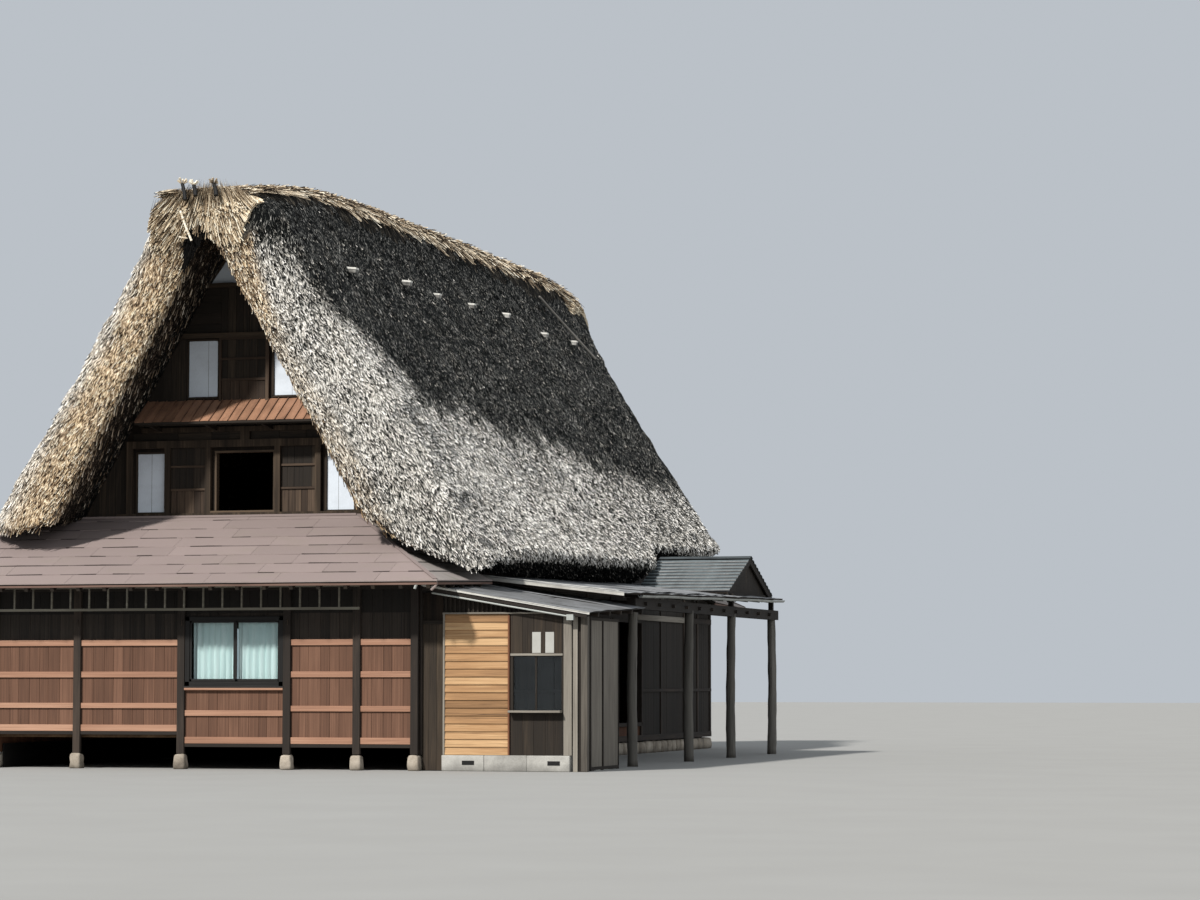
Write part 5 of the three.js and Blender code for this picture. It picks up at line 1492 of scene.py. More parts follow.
def pent(tag):
    r = np.random.default_rng(161)
    XE, YE, Z0, K, RUN, SIDE, RISE, HX, WX, COURSE = 4.3, -0.9, 2.95, 0.46, 1.699, 1.9, 0.03, 2.02, 3.71, 0.345
    KX = (XE - HX) / (RUN - YE)
    KS = (K - RISE) / KX
    deck, sh, sd, trim, fascia = Geo(162), Geo(163), Geo(166), Geo(164), Geo(165)

    def zf(y):
        return Z0 + K * (y - YE)

    def zs(x, y):
        return Z0 + RISE * (y - YE) + KS * (XE - x)

    # deck: a slab a little inside the sheets
    e = 0.018
    plan = [(-XE + e, YE + e), (XE - e, YE + e), (XE - e, SIDE - e), (WX + e, SIDE - e), (WX + e, RUN + 0.01), (HX, RUN), (-XE + e, RUN)]
    pos = [(x, y, min(zf(y), zs(x, y)) - 0.010) for x, y in plan]
    pos += [(x, y, z - 0.045) for x, y, z in pos]
    tris = [(0, 1, 5), (0, 5, 6), (1, 2, 4), (2, 3, 4), (1, 4, 5)]
    deck.put(pos, [(i, i + 7, (i + 1) % 7 + 7, (i + 1) % 7) for i in range(7)], tris + [(a + 7, c + 7, b + 7) for a, b, c in tris], tone=0.3)
    # rafters under the deck
    for x in np.arange(-4.05, 4.21, 0.455):
        v1 = min(RUN - YE, (XE - x) / KX - 0.03)
        deck.beam((x, YE + 0.03, zf(YE + 0.03) - 0.092), (x, YE + v1, zf(YE + v1) - 0.092), 0.06, 0.07, tone=r.uniform(0.3, 0.6))
    for y in np.arange(-0.45, 1.8, 0.455):
        x1 = max(XE - KX * (y - YE) + 0.03, WX + 0.01)
        deck.beam((XE - 0.03, y, zs(XE - 0.03, y) - 0.092), (x1, y, zs(x1, y) - 0.092), 0.06, 0.07, tone=r.uniform(0.3, 0.6))
    # sheets in courses; the lower edge of each stands proud of the one below
    rows = int(np.ceil((RUN - YE) / COURSE))
    for i in range(rows):
        v0, v1 = max(i * COURSE, 0.002), min((i + 1) * COURSE + 0.03, RUN - YE)
        hip0, hip1 = XE - KX * v0 - (0.0 if i else 0.002), XE - KX * v1
        x, first = -XE + 0.002, r.uniform(0.3, 1.4)
        start = x
        while x < hip0 - 1e-6:
            x1 = min(x + (first if x == start else r.uniform(1.0, 1.7)), hip0)
            if hip0 - x1 < 0.4:
                x1 = hip0
            n = 2 * max(2, int(round((x1 - x) / 0.30)))
            P = np.zeros((n, 3, 3))
            cuts = np.linspace(x + 0.002, x1 - 0.002, n // 2 + 1)
            for m_, xx in enumerate(np.sort(np.concatenate([cuts, cuts[1:-1] + 0.012]))):
                wob = 0.003 * math.sin(xx * 5 + i * 2.1) + r.uniform(-0.0012, 0.0012)
                P[m_, 0] = (xx, YE + v0, zf(YE + v0) + 0.013 + wob)
                P[m_, 2] = (min(xx, hip1), YE + v1, zf(YE + v1) + 0.001)
            P[:, 1] = P[:, 0] + (P[:, 2] - P[:, 0]) * 0.075
            g_ = np.stack([P[..., 1], P[..., 0], P[..., 2]], -1) + np.array([0, i * 7.3, 0])
            t = float(np.clip(r.normal(0.55, 0.07), 0.35, 0.75))
            T = np.full((n, 3), t)
            # painted shade: the lower edge of each course but the first is darkened in dashes, as the shadow in the
            # seam under it
            dark = r.choice([0.0, 0.25, 0.6, 0.95], n // 2, p=[0.3, 0.25, 0.2, 0.25])
            T[:, 0] = t if i == 0 else t * np.repeat(dark, 2)
            sh.shell(P, (0, 0, -0.010), tone=T, g=g_)
            x = x1
    # the same courses carried round the hip
    for i in range(rows):
        v0, v1 = max(i * COURSE, 0.002), min((i + 1) * COURSE + 0.03, RUN - YE)
        u0, u1 = KX * v0, KX * v1
        end = SIDE - 0.002 if u0 < XE - WX else RUN - 0.004
        y, start = YE + v0, YE + v0
        first = r.uniform(0.3, 0.9)
        while y < end - 1e-6:
            y1 = min(y + (first if y == start else r.uniform(0.7, 1.2)), end)
            if end - y1 < 0.3:
                y1 = end
            if y < RUN < y1 - 1e-3 and u1 > XE - WX:
                y1 = RUN
            top = min(u1, XE - WX - 0.003) if y1 > RUN + 0.01 else u1
            n = 5
            P = np.zeros((n, 3, 3))
            for m_, yy in enumerate(np.linspace(y + 0.002, y1 - 0.002, n)):
                yu = min(max(yy, YE + top / KX), end)
                P[m_, 0] = (XE - u0, yy, zs(XE - u0, yy) + 0.013 + r.uniform(-0.0012, 0.0012))
                P[m_, 2] = (XE - top, yu, zs(XE - top, yu) + 0.001)
            P[:, 1] = P[:, 0] + (P[:, 2] - P[:, 0]) * 0.10
            g_ = np.stack([P[..., 0], P[..., 1], P[..., 2]], -1) + np.array([0, i * 5.1 + 50, 0])
            t = float(np.clip(r.normal(0.5, 0.07), 0.3, 0.7))
            T = np.full((n, 3), t)
            # painted shade: the lower edge of each course but the first is darkened, as the shadow in the seam under it
            T[:, 0] = t * (1.0 if i == 0 else 0.1)
            sd.shell(P, (0, 0, -0.010), tone=T, g=g_)
            y = y1
    # low cap along the hip
    sh.beam((XE - 0.05, YE + 0.057, zf(YE + 0.057) + 0.014), (HX + 0.02, RUN - 0.02, zf(RUN - 0.02) + 0.012), 0.075, 0.010, tone=0.42)
    # strip laid against the gable boards
    sh.box(-2.9, RUN - 0.070, zf(1.63) + 0.012, HX, RUN - 0.012, zf(1.63) + 0.048, tone=0.5)
    # drip edges, a shadow gap and a thin fascia
    trim.box(-XE + 0.001, YE + 0.001, 2.950, XE - 0.001, YE + 0.014, 2.966, tone=0.75)
    trim.beam((XE - 0.008, YE + 0.002, 2.958), (XE - 0.008, SIDE - 0.002, 2.958 + RISE * 2.8), 0.014, 0.016, tone=0.75)
    fascia.box(-XE + 0.012, YE + 0.012, 2.898, XE - 0.012, YE + 0.034, 2.930, tone=0.55)
    fascia.beam((XE - 0.022, YE + 0.036, 2.914), (XE - 0.022, SIDE - 0.01, 2.914 + RISE * 2.8), 0.022, 0.032, tone=0.5)
    # barge board at the straight end
    fascia.beam((-XE + 0.016, YE + 0.02, zf(YE + 0.02) - 0.075), (-XE + 0.016, RUN - 0.01, zf(RUN - 0.01) - 0.075), 0.026, 0.11, tone=0.2)
    trim.beam((-XE + 0.008, YE + 0.004, zf(YE) + 0.012), (-XE + 0.008, RUN - 0.01, zf(RUN - 0.01) + 0.012), 0.014, 0.020, tone=0.55)
    # short elbow at the corner
    trim.tube([(4.272, -0.862, 2.945), (4.272, -0.862, 2.895), (4.25, -0.862, 2.865), (4.19, -0.862, 2.815)], 0.020, 8, tone=0.9)
    for geo, nm, mt, sl, rep in ((deck, "deck", m_dark, "timber", ()), (sh, "sheets", m_shingle, "shingle", ("pent_roof",)), (sd, "side_sheets", m_shingle_side, "shingle", ()),
                                 (trim, "drip_edge", m_drip, "shingle", ()), (fascia, "fascia", m_fascia, "timber", ())):
        gg = geo if tag == "front" else mirror_back(geo)
        gg.make(f"{tag}_pent_{nm}", mt, sl, *[f"{tag}_{k}" for k in rep])


pent("front")
pent("rear")

# ------------------------------------------------------------------ gables
def in_z(x):
    return 9.2 - (9.2 - 3.22) / 3.95 * abs(x)


def gable(front):
    r = np.random.default_rng(171 + front)
    boards, red, rails, trim = Geo(172), Geo(173), Geo(174), Geo(175)
    Y = 1.78

    def vertical(geo, a, b, z0, z1, wide=(0.10, 0.17), y=0.017, tone=(0.2, 0.8)):
        for p, q in strips(r, a, b, wide):
            zt = [min(z1, in_z(p) - 0.03), min(z1, in_z(q) - 0.03)]
            if min(zt) < z0 + 0.05:
                continue
            d = y + r.uniform(-0.003, 0.003)
            geo.prism([(p, z0), (q, z0), (q, zt[1]), (p, zt[0])], Y - d, Y - 0.0005, "y", tone=r.uniform(*tone))

    def horizontal(geo, z0, z1, xa, xb, wide=(0.15, 0.2), tone=(0.15, 0.7)):
        for p, q in strips(r, z0, z1, wide):
            lim = (9.2 - q - 0.03) / 1.51392
            a, b = max(xa, -lim), min(xb, lim)
            if b - a > 0.1:
                geo.prism([(a, p), (b, p), (b, q), (a, q)], Y - 0.016 - r.uniform(0, 0.004), Y - 0.0005, "y", tone=r.uniform(*tone))

    # lower storey
    for a, b in ((-1.335, -0.695), (0.635, 1.265)):
        vertical(boards, a, b, 4.62, 5.30)
        vertical(red, a, b, 4.206, 4.62, tone=(0.3, 0.9))
        for z in (4.985, 4.60):
            rails.box(a, Y - 0.040, z - 0.018, b, Y - 0.017, z + 0.018, tone=r.uniform(0.4, 0.8))
    vertical(boards, -3.25, -2.12, 3.9, 5.95)
    vertical(boards, 2.06, 3.25, 3.9, 5.95)
    vertical(boards, -2.02, 1.95, 5.422, 5.56, wide=(0.3, 0.6))
    vertical(boards, -1.9, 1.9, 5.642, 5.95, wide=(0.12, 0.2))
    if front:
        trim.box(-0.528, Y - 0.05, 4.236, -0.494, Y + 0.07, 5.238, tone=0.85)
        trim.box(0.515, Y - 0.05, 4.236, 0.538, Y + 0.07, 5.238, tone=0.5)
        trim.box(-0.528, Y - 0.055, 5.205, 0.538, Y + 0.06, 5.238, tone=0.8)
        trim.box(-0.60, Y - 0.075, 4.206, 0.60, Y + 0.05, 4.236, tone=0.95)
        # one leaf of the doorway's shutters pushed back behind the wall
        for p, q in strips(r, -1.42, -0.56, (0.14, 0.2)):
            trim.box(p, Y + 0.06, 4.22, q, Y + 0.08, 5.2, tone=r.uniform(0.2, 0.5), along="z")
    else:
        vertical(boards, -0.605, 0.545, 4.206, 5.30)
        for z in (4.985, 4.60):
            rails.box(-0.605, Y - 0.040, z - 0.018, 0.545, Y - 0.017, z + 0.018, tone=0.6)
    # panel surrounds
    panels = [(-1.96, -1.43, 4.21, 5.23, -1.69), (1.43, 1.96, 4.21, 5.23, 1.65), (-1.05, -0.48, 6.13, 7.11, -0.68), (0.48, 1.05, 6.13, 7.11, 0.82)]
    for a, b, z0, z1, joint in panels:
        for q in ((a - 0.005, z0, a + 0.022, z1), (b - 0.022, z0, b + 0.005, z1), (a, z1 - 0.02, b, z1 + 0.012), (a, z0 - 0.012, b, z0 + 0.02)):
            trim.box(q[0], Y - 0.020, q[1], q[2], Y + 0.014, q[3], tone=0.2)
        trim.box(joint - 0.003, Y + 0.0125, z0 + 0.01, joint + 0.003, Y + 0.0145, z1 - 0.01, tone=0.3)
    # upper storey
    vertical(boards, -0.44, 0.36, 6.44, 8.0, tone=(0.2, 0.8))
    vertical(red, -0.44, 0.36, 6.03, 6.44, tone=(0.1, 0.7))
    vertical(boards, -2.1, -1.06, 5.96, 7.13)
    vertical(boards, 1.06, 2.1, 5.96, 7.13)
    for z in (7.12, 6.78, 6.43):
        rails.box(-0.44, Y - 0.040, z - 0.020, 0.365, Y - 0.017, z + 0.020, tone=r.uniform(0.35, 0.7))
    rails.box(0.365, Y - 0.055, 5.96, 0.425, Y - 0.001, 7.14, tone=0.8, along="z")
    rails.box(-0.47, Y - 0.050, 5.96, -0.425, Y - 0.001, 7.14, tone=0.5, along="z")
    trim.box(-1.30, Y - 0.060, 7.135, 1.30, Y - 0.001, 7.215, tone=0.5)
    horizontal(boards, 7.22, 7.98, -1.3, -0.44)
    horizontal(boards, 7.22, 7.98, 0.36, 1.3)
    trim.box(-0.72, Y - 0.055, 7.98, 0.72, Y - 0.001, 8.055, tone=0.45)
    for sx in (-1, 1):  # bars beside the blind triangle
        trim.beam((sx * 0.66, Y - 0.020, 8.06), (sx * 0.015, Y - 0.020, 8.93), 0.040, 0.030, up=(0, 1, 0), tone=0.4)
    tag = "front" if front else "rear"
    for geo, nm, mt in ((boards, "boards", m_dark), (red, "lower_boards", m_redboard), (rails, "rails", m_redboard), (trim, "trim", m_frame)):
        gg = geo if front else rear_of(geo)
        gg.make(f"{tag}_gable_{nm}", mt, "dark_boards", bevel=0.003)


gable(True)
gable(False)


def red_roof():
    g, u = Geo(181), Geo(182)
    r = g.r
    y0, z0, y1, z1 = 1.182, 5.694, 1.7785, 6.094
    sl = np.array([0, y1 - y0, z1 - z0])
    nv = unit(np.array([0, -(z1 - z0), y1 - y0]))
    xs, hs, tn = [], [], []
    x = -1.757
    pans = 21
    wd = 3.514 / pans
    for k in range(pans):
        t = float(np.clip(r.normal(0.55, 0.14), 0.2, 0.9))
        c = x + k * wd
        for dx, h, tt in ((0.0, 0.004, 0.02), (0.0015, 0.021, 0.0), (0.013, 0.021, 0.25), (0.0145, 0.004, 0.1), (0.03, 0.003, t), (wd * 0.55, 0.0065, t + 0.1), (wd - 0.012, 0.004, t)):
            xs.append(c + dx)
            hs.append(h)
            tn.append(tt)
    xs.append(1.757)
    hs.append(0.004)
    tn.append(0.1)
    xs, hs, tn = map(np.array, (xs, hs, tn))
    m = 6
    P = np.zeros((len(xs), m, 3))
    T = np.zeros((len(xs), m))
    G_ = np.zeros_like(P)
    for j in range(m):
        f = j / (m - 1)
        base = np.array([0, y0, z0]) + sl * f
        P[:, j] = base + nv * hs[:, None] + np.stack([xs, 0 * xs, 0 * xs], 1)
        P[:, j, 2] += 0.003 * np.sin(xs * 9 + f * 4)
        T[:, j] = tn
        G_[:, j] = np.stack([np.full(len(xs), f * 0.7), xs, 0 * xs], 1)
    P[..., 1] = np.maximum(P[..., 1], 1.1805)
    g.shell(P, tuple(-nv * 0.004), tone=T, g=G_)
    # boards, rafters and edge pieces under the sheet
    u.prism([(y0 + 0.012, z0 - 0.030), (y1, z1 - 0.030), (y1, z1 - 0.004), (y0 + 0.012, z0 - 0.004)], -1.75, 1.75, "x", tone=0.4)
    u.box(-1.755, 1.186, 5.655, 1.755, 1.206, 5.694, tone=0.3)
    for x in np.linspace(-1.62, 1.62, 9):
        u.beam((x, 1.22, 5.668), (x, 1.775, 6.034), 0.045, 0.05, tone=r.uniform(0.3, 0.7))
    for x in (-1.5, -0.5, 0.5, 1.5):
        u.beam((x, 1.72, 5.60), (x, 1.27, 5.655), 0.05, 0.06, tone=0.4)
    u.box(-1.70, 1.25, 5.638, 1.70, 1.29, 5.672, tone=0.5)
    for tag in ("front", "rear"):
        (g if tag == "front" else rear_of(g)).make(f"{tag}_red_sheets", m_redmetal, "red_metal", f"{tag}_gable_pent_roof")
        (u if tag == "front" else rear_of(u)).make(f"{tag}_red_roof_boards", m_dark, "timber")


red_roof()


# ------------------------------------------------------------------ annex
def annex():
    r = np.random.default_rng(191)
    clap, back, red, grey, dark = Geo(192), Geo(193), Geo(194), Geo(195), Geo(196)
    back.box(4.096, 0.024, 0.251, 5.189, 0.059, 2.479, tone=0.2)
    n = 18
    h = (2.46 - 0.262) / n
    for i in range(n):
        z0 = 0.262 + i * h
        t = float(np.clip(r.normal(0.55, 0.24), 0.02, 1.0))
        w = r.uniform(-0.002, 0.002)
        clap.prism([(0.024, z0 + h + 0.012), (0.012, z0 + h + 0.012), (-0.010 + w, z0 + 0.002), (-0.008 + w, z0 - 0.008), (0.024, z0 - 0.008)][::-1], 4.122, 5.168, "x", tone=t)
    grey.box(4.095, -0.020, 0.251, 4.124, 0.03, 2.479, tone=0.9)
    red.box(5.166, -0.020, 0.251, 5.192, 0.06, 2.43, tone=0.7)
    grey.box(4.090, -0.028, 2.455, 5.92, 0.03, 2.482, tone=0.55)
    # recess beside the house
    for p, q in strips(r, 3.735, 4.072, (0.10, 0.15)):
        dark.box(p, 0.066, 0.01, q, 0.0795, 2.30, tone=r.uniform(0.5, 0.9), along="z")
    dark.box(3.735, 0.05, 2.30, 4.09, 0.0795, 2.36, tone=0.3)
    # slats under the roof, in dark wood that also paints the shade under the roof
    for x in np.arange(4.12, 6.1, 0.075):
        zt = 2.80 - 0.169 * (x - 4.3) - 0.035
        if zt > 2.53:
            dark.box(x, 0.02, 2.482, x + 0.028, 0.045, zt, tone=r.uniform(0.25, 0.6), along="z")
    dark.prism([(4.10, 2.482), (6.18, 2.482), (6.18, 2.484), (4.10, 2.83)], 0.05, 0.065, "y", tone=0.25)
    # shop front
    for p, q in strips(r, 5.206, 6.045, (0.13, 0.2)):
        dark.box(p, 0.004, 0.252, q, 0.058, 0.912, tone=r.uniform(0.2, 0.6), along="z")
        dark.box(p, 0.004, 1.835, q, 0.058, 2.458, tone=r.uniform(0.35, 0.75), along="z")
    dark.box(5.206, -0.004, 0.90, 5.25, 0.060, 1.84, tone=0.3, along="z")
    dark.box(6.04, -0.004, 0.252, 6.066, 0.060, 2.458, tone=0.3, along="z")
    grey.box(5.206, -0.016, 1.80, 6.06, 0.058, 1.836, tone=0.95)
    grey.box(5.200, -0.13, 0.915, 6.05, 0.10, 0.95, tone=0.8)
    for x in (5.62,):
        dark.box(x - 0.012, 0.012, 0.95, x + 0.012, 0.022, 1.80, tone=0.4, along="z")
    for p, q in strips(r, 6.068, 6.204, (0.13, 0.14)):
        grey.box(p, -0.002, 0.252, q, 0.058, 2.458, tone=0.8, along="z")
    # corner posts
    grey.box(6.222, 0.001, 0.001, 6.296, 0.075, 2.409, tone=0.95, along="z", warp=0.003)
    dark.box(6.30, 0.03, 0.001, 6.345, 0.129, 2.40, tone=0.15, along="z")
    grey.box(6.350, 0.002, 0.001, 6.458, 0.110, 2.409, tone=0.0, along="z", warp=0.003)
    # boards along the side
    for a, b in ((0.63, 1.24), (1.34, 2.17)):
        for p, q in strips(r, a, b, (0.26, 0.45)):
            grey.box(6.318, p, 0.03, 6.334, q, 2.39, tone=r.uniform(0.5, 0.75), along="z")
    for y in (0.565, 1.265, 2.178):
        dark.box(6.302, y - 0.004, 0.001, 6.344, y + 0.05 if y < 2 else 2.199, 2.409, tone=0.3, along="z")
    dark.box(6.305, 0.57, 2.36, 6.343, 2.19, 2.405, tone=0.4)
    dark.box(6.305, 0.57, 0.01, 6.343, 2.19, 0.06, tone=0.4)
    clap.make("clapboards", m_clap, "clapboard", bevel=0.0)
    back.make("clapboard_backing", m_dark, "clapboard", "annex_clapboard_wall")
    red.make("annex_red_jamb", m_red, "clapboard", bevel=0.003)
    grey.make("annex_grey_wood", m_grey, "log", "annex_corner_post", "annex_side_boards", bevel=0.003)
    dark.make("annex_dark_wood", m_dark, "dark_boards", "annex_shop_front", bevel=0.003)
    pp = Geo(197)
    for a, b in ((5.56, 5.70), (5.775, 5.915)):
        P = np.zeros((6, 8, 3))
        for i, x in enumerate(np.linspace(a, b, 6)):
            for j, z in enumerate(np.linspace(2.17, 1.845, 8)):
                P[i, j] = (x, -0.0005 - 0.004 * (j / 7) ** 2 * abs(math.sin(i * 1.1 + a * 5)), z)
        pp.shell(P, (0, 0.0012, 0), tone=0.5)
    pp.make("blank_papers", m_paper, "white_panel")
    # blocks under the annex
    b = Geo(198)
    x = 4.08
    while x < 6.18:
        x1 = min(x + 0.70, 6.19)
        b.box(x + 0.0015, -0.03, 0.0, x1 - 0.0015, 0.11, 0.249, tone=r.uniform(0.45, 0.8), warp=0.002)
        x = x1
    b.box(6.062, 0.112, 0.0, 6.188, 0.398, 0.249, tone=0.6, warp=0.002)
    b.make("annex_blocks", m_conc, "concrete", "annex_base", bevel=0.008)
    # slots that air the space under the floor, drawn as thin near-black plates that paint the shade inside them
    v = Geo(199)
    for x in (4.42, 5.82):
        v.box(x, -0.036, 0.10, x + 0.20, -0.0295, 0.165, tone=0.2)
    v.make("annex_vents", m_black, "concrete")


annex()


def logs():
    g, h = Geo(201), Geo(202)
    r = g.r
    for y in (3.42, 7.10, 10.20, 13.50):
        z = np.linspace(0, 2.65, 26)
        off = r.uniform(0, 9)
        pts = np.stack([6.23 + 0.010 * np.sin(z * 1.7 + off), y + 0.010 * np.cos(z * 1.3 + off), z], 1)
        rad = 0.088 - 0.010 * z / 2.65 + 0.003 * np.sin(z * 9 + off)
        rad[0] = rad[0] + 0.002
        g.tube(pts, rad, 18, tone=r.uniform(0.2, 0.5), wob=0.035)
    # header: a hewn beam, with smaller poles across it; the beam is near-black, painted shade under the roof
    h.box(6.152, 3.332, 2.602, 6.308, 13.758, 2.783, tone=0.08, warp=0.0)
    for y in np.arange(3.9, 13.7, 0.9):
        h.tube([(3.72, y, 2.86 + 0.0), (4.8, y + 0.01, 2.80), (6.36, y, 2.66 + 0.03)], 0.032, 7, tone=r.uniform(0.2, 0.6), wob=0.06)
    g.make("log_posts", m_log, "log", "annex_post_frame", smooth=True)
    h.make("log_header", m_post, "log", bevel=0.0)
    k = Geo(203)
    # board along the house wall under the rafters
    k.box(3.72, 12.71, 2.60, 3.752, 16.32, 2.71, tone=0.9)
    k.make("annex_back_wood", m_grey, "log", bevel=0.003)


logs()


# ------------------------------------------------------------------ lean-to roofs
def lean_to():
    r = np.random.default_rng(211)
    sh, under, trim, gut = Geo(212), Geo(213), Geo(214), Geo(215)

    def zl(x, y):
        return 2.84 - 0.169 * (x - 4.3) + 0.042 * (y + 0.15)

    def zu(x, y):
        return 3.03 - 0.1156 * (x - 4.75) + 0.015 * (y - 2.3)

    def sheets(zf, xa, xb, ya, yb, wide, rag, layer=0.0):
        y = ya
        k = 0
        while y < yb - 1e-6:
            w = min(r.uniform(*wide), yb - y)
            if yb - y - w < 0.3:
                w = yb - y
            x1 = xb - r.uniform(0, rag)
            t = float(np.clip(r.normal(0.5, 0.2), 0.05, 1))
            n, m = 14, 9
            P = np.zeros((n, m, 3))
            lift = 0.004 + 0.007 * (k % 2) + layer
            G_ = np.zeros_like(P)
            for i, x in enumerate(np.linspace(xa, x1, n)):
                for j, yy in enumerate(np.linspace(y - (0.03 if k else 0), y + w, m)):
                    bow = 0.006 * math.sin(x * 3 + k) + 0.005 * math.sin(yy * 7 + k * 2)
                    f = j / (m - 1)
                    curl = 0.010 * max(0, (i / (n - 1) - 0.8) * 5) * (f - 0.4)
                    P[i, j] = (x, min(max(yy, ya), yb), zf(x, yy) + lift + bow + curl)
                    G_[i, j] = (x, yy, k * 3.1)
            sh.shell(P, (0, 0, -0.004), tone=t, g=G_)
            y += w
            k += 1

    # lower roof
    sheets(zl, 3.765, 6.555, -0.148, 3.298, (0.55, 0.85), 0.10)
    for y in (-0.10, 0.55, 1.2, 1.85, 2.5, 3.15):
        under.beam((3.80, y, zl(3.80, y) - 0.055), (6.48, y, zl(6.48, y) - 0.055), 0.055, 0.07, tone=r.uniform(0.2, 0.6))
    for x in (3.85, 4.6, 5.3, 5.95, 6.45):
        under.beam((x, -0.12, zl(x, -0.12) - 0.014), (x, 3.28, zl(x, 3.28) - 0.014), 0.06, 0.024, tone=r.uniform(0.2, 0.6))
    trim.beam((3.78, -0.138, zl(3.78, -0.15) - 0.012), (6.53, -0.138, zl(6.53, -0.15) - 0.012), 0.012, 0.035, tone=0.7)
    gut.tube([(3.95, -0.125, zl(3.95, 0) - 0.115), (5.2, -0.127, zl(5.2, 0) - 0.120), (6.20, -0.125, zl(6.20, 0) - 0.118)], 0.014, 8, tone=0.95)
    gut.box(6.16, -0.148, zl(6.2, 0) - 0.175, 6.27, -0.075, zl(6.2, 0) - 0.085, tone=0.95)
    # upper roof
    sheets(zu, 3.715, 6.435, 2.302, 13.798, (0.75, 1.05), 0.08)
    sheets(zu, 5.35, 6.43, 3.2, 10.1, (0.7, 1.5), 0.22, 0.016)
    for y in np.arange(2.45, 13.8, 0.95):
        under.beam((3.75, y, zu(3.75, y) - 0.055), (6.36, y, zu(6.36, y) - 0.055), 0.055, 0.07, tone=r.uniform(0.2, 0.6))
    for x in (3.8, 4.6, 5.4, 6.05, 6.36):
        under.beam((x, 2.33, zu(x, 2.33) - 0.014), (x, 13.77, zu(x, 13.77) - 0.014), 0.06, 0.024, tone=r.uniform(0.2, 0.6))
    # pale flashing along the front rake of the upper roof
    P = np.zeros((24, 2, 3))
    for i, x in enumerate(np.linspace(3.95, 6.30, 24)):
        ww = 0.13 + 0.02 * math.sin(i * 1.3)
        P[i, 0] = (x, 2.305, zu(x, 2.3) + 0.026 + 0.003 * math.sin(i * 2.1))
        P[i, 1] = (x, 2.305 + ww, zu(x, 2.3 + ww) + 0.030)
    trim.shell(P, (0, 0, -0.004), tone=0.95)
    trim.beam((3.80, 2.312, zu(3.8, 2.3) - 0.02), (6.40, 2.312, zu(6.4, 2.3) - 0.02), 0.014, 0.06, tone=0.5)
    # half-round gutter along the outer eave
    ys = np.linspace(3.34, 13.79, 40)
    a = np.linspace(math.pi * 1.02, math.pi * 1.98, 8)
    P = np.zeros((len(ys), 8, 3))
    for i, y in enumerate(ys):
        cx, cz = 6.392, zu(6.40, y) - 0.030 - 0.004 * math.sin(y * 2.1)
        P[i] = np.stack([cx + 0.042 * np.cos(a), np.full(8, y), cz + 0.042 * np.sin(a)], 1)
    gut.shell(P, (0, 0, 0.004), tone=0.6)
    for y in np.arange(3.6, 13.8, 1.2):
        gut.tube([(6.30, y, zu(6.3, y) - 0.03), (6.355, y, zu(6.35, y) - 0.045), (6.39, y, zu(6.39, y) - 0.08)], 0.005, 6, tone=0.3)
    # small elbow at the corner of the front eave
    gut.tube([(4.02, -0.86, 2.925), (3.96, -0.862, 2.915), (3.935, -0.862, 2.88), (3.92, -0.862, 2.835)], 0.022, 10, tone=1.0)
    sh.make("lean_to_sheets", m_sheet, "sheet_roof", "lean_to_roof_lower", "lean_to_roof_upper")
    under.make("lean_to_rafters", m_post, "log")
    trim.make("lean_to_trim", m_flash, "sheet_roof")
    gut.make("gutters", m_gutter, "sheet_roof", smooth=False)


lean_to()


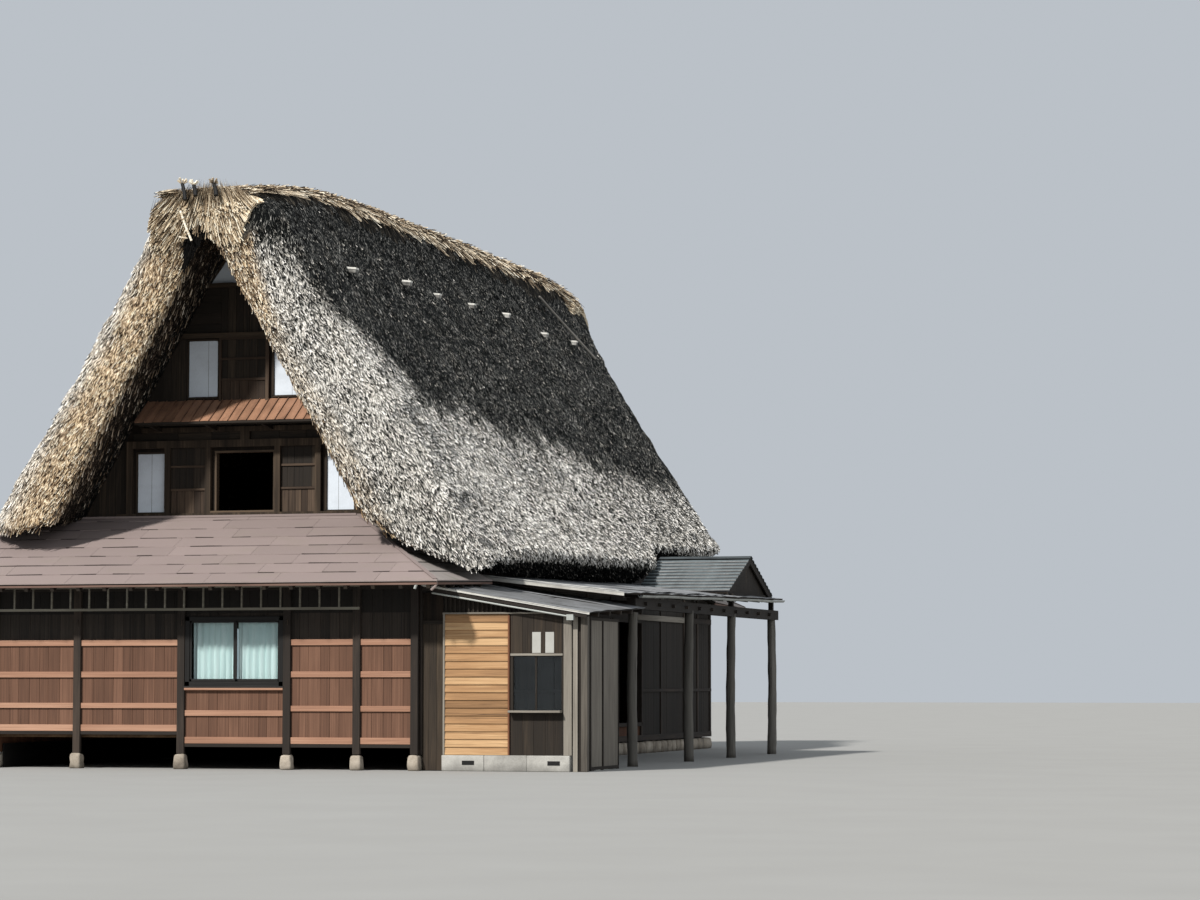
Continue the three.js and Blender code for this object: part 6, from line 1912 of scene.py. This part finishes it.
def porch():
    r = np.random.default_rng(221)
    g, dk, cap = Geo(222), Geo(223), Geo(224)
    PY, PZ, HALF, DROP = 11.9, 3.79, 1.78, 0.70
    L = math.hypot(HALF, DROP)
    ribs = 11
    for sy in (-1, 1):
        us, hs, tn = [], [], []
        per = L / ribs
        for k in range(ribs):
            # rib tops get a high tone and the flats a low one, with the contrast raised below: painted highlights along
            # the ribs and painted shade between them
            for f, h, t in ((0.0, 0.0, 0.15), (0.10, 0.0, 0.25), (0.16, 0.018, 0.75), (0.46, 0.021, 0.85), (0.60, 0.018, 0.6), (0.68, 0.0, 0.2)):
                us.append((k + f) * per)
                hs.append(h)
                tn.append(t)
        us.append(L)
        hs.append(0.0)
        tn.append(0.2)
        xs = np.linspace(4.425, 6.215, 9)
        P = np.zeros((len(xs), len(us), 3))
        G_ = np.zeros_like(P)
        T = np.tile(np.clip(np.array(tn) * 2.8 - 0.95, -0.7, 1.4), (len(xs), 1))
        c, s = HALF / L, DROP / L
        for i, x in enumerate(xs):
            for j, (u_, h) in enumerate(zip(us, hs)):
                P[i, j] = (x, PY + sy * (u_ * c + (h - 0.024) * s), PZ - u_ * s + (h - 0.024) * c + 0.002 * math.sin(x * 6 + j))
                G_[i, j] = (u_ * 0.4, x, sy * 4.0)
        g.shell(P, (0, -sy * s * 0.004, -c * 0.004), tone=T, g=G_)
        # barge board and rafters
        for x0, x1 in ((6.170, 6.198), (5.3, 5.35), (4.6, 4.65)):
            d = 0.065 if x0 > 6 else 0.055
            pts = [(PY, PZ - 0.03), (PY + sy * HALF, PZ - DROP - 0.03), (PY + sy * HALF, PZ - DROP - 0.03 - 2 * d), (PY, PZ - 0.03 - 2 * d)]
            dk.prism(pts, x0, x1, "x", tone=0.25 if x0 > 6 else 0.4)
        for u_ in (0.25, 0.85, 1.45, 1.86):
            y, z = PY + sy * u_ * c, PZ - u_ * s - 0.055
            dk.beam((4.43, y, z), (6.17, y, z), 0.05, 0.05, tone=0.35)
    cap.shell(np.array([[[x, PY - 0.13, PZ - 0.052 + 0.004], [x, PY - 0.012, PZ - 0.003], [x, PY + 0.012, PZ - 0.003], [x, PY + 0.13, PZ - 0.052 + 0.004]] for x in np.linspace(4.422, 6.218, 8)]), (0, 0, -0.004), tone=0.15)
    g.make("porch_sheets", m_porch, "porch_sheet", "porch_roof")
    cap.make("porch_ridge", m_porch, "porch_sheet")
    for p, q in strips(r, PY - 1.47, PY + 1.47, (0.12, 0.17)):
        za, zb = (PZ - 0.10 - abs(y - PY) * DROP / HALF for y in (p, q))
        if min(za, zb) > 3.10:
            pts = [(p, 3.075), (q, 3.075), (q, zb), (p, za)]
            if p < PY < q:
                pts = [(p, 3.075), (q, 3.075), (q, zb), (PY, PZ - 0.10), (p, za)]
            dk.prism(pts, 6.1205, 6.136, "x", tone=r.uniform(0.1, 0.55))
    dk.box(6.1, PY - 1.70, 2.98, 6.16, PY + 1.70, 3.075, tone=0.3)
    dk.make("porch_wood", m_dark, "dark_boards", bevel=0.0)
    # posts that carry the porch from the lean-to's header
    e = Geo(225)
    for y in (PY - 1.62, PY + 1.62):
        e.box(6.17, y - 0.045, 2.785, 6.26, y + 0.045, 3.03, tone=0.4, along="z")
    e.make("porch_stubs", m_post, "log", bevel=0.004)


porch()


# ------------------------------------------------------------------ rods, poles and pegs on the roof
def bits():
    r = np.random.default_rng(231)
    g, s, p, rod, stick = Geo(232), Geo(233), Geo(234), Geo(235), Geo(236)
    # rods pushed through the ends of the ridge, drawn thick and near-black so they also paint the shadows they cast
    for back in (False, True):
        for x, z, bx, bz in ((-0.40, 9.44, -0.31, 9.19), (-0.20, 9.41, -0.13, 9.25), (0.15, 9.42, 0.23, 9.24)):
            tip, base = np.array([x, -0.02, z + 0.03]), np.array([bx, -0.11, bz])
            tuft = tip - [0, 0, 0.02]
            if back:
                tip[1], base[1], tuft[1] = (2 * MID - a for a in (tip[1], base[1], tuft[1]))
            rod.tube([base, (base + tip) / 2 + [0.008, 0, 0], tip], [0.036, 0.035, 0.030], 8, tone=0.15)
            c = 13
            a = np.arange(c) / c * 2 * np.pi + r.uniform(0, 1)
            D = unit(np.stack([np.cos(a) * 0.8, np.sin(a) * 0.8, np.full(c, 0.85)], 1) + r.normal(0, 0.15, (c, 3)))
            A = np.tile(tuft, (c, 1))
            spikes4(s, A, D, np.tile([0.3, 1.0 if back else -1.0, 0.2], (c, 1)), r.uniform(0.08, 0.14, c), r.uniform(0.028, 0.042, c), np.full(c, 0.95), np.full(c, 0.6), A)
    # loose sticks
    stick.tube([(-0.42, -0.05, 9.03), (-0.33, -0.06, 8.79), (-0.22, -0.05, 8.53)], 0.019, 6, tone=0.95, gold=0.7)
    stick.tube([(-0.44, -0.05, 8.60), (-0.29, -0.055, 8.57)], 0.011, 6, tone=0.9, gold=0.7)
    g.tube([(1.04, 14.95, 9.27), (1.38, 15.55, 8.76), (1.83, 16.35, 8.10)], 0.022, 6, tone=1.0)
    for side in (1, -1):
        for k, (x, y, z) in enumerate(((1.54, 2.57, 8.26), (1.46, 5.63, 8.40), (1.49, 7.13, 8.34), (1.46, 9.22, 8.39), (1.43, 11.46, 8.45), (1.52, 13.66, 8.29), (1.48, 15.88, 8.35))):
            n = unit(np.array([1.61, 0, 1.0]))
            d = unit(np.array([1.0, 0, -0.12]))
            c = np.array([x, y, z]) + n * 0.05
            w = 0.13 if k == 0 else 0.095
            a, b = (c - d * 0.16) * [side, 1, 1], (c + d * (0.08 if k == 0 else 0.045)) * [side, 1, 1]
            p.beam(a, b, w, 0.06, tone=0.1)
            p.beam(b - (b - a) * 0.75 + [0, 0, 0.044], b + [side * 0.012, 0, 0.044], w * 1.12, 0.030, tone=1.0, gold=1.0)
    g.make("slope_stick", m_log, "straw")
    rod.make("ridge_rods", m_black, "straw")
    stick.make("verge_sticks", m_straw, "straw")
    s.make("rod_tufts", m_straw, "straw")
    p.make("roof_pegs", m_peg, "timber")


bits()
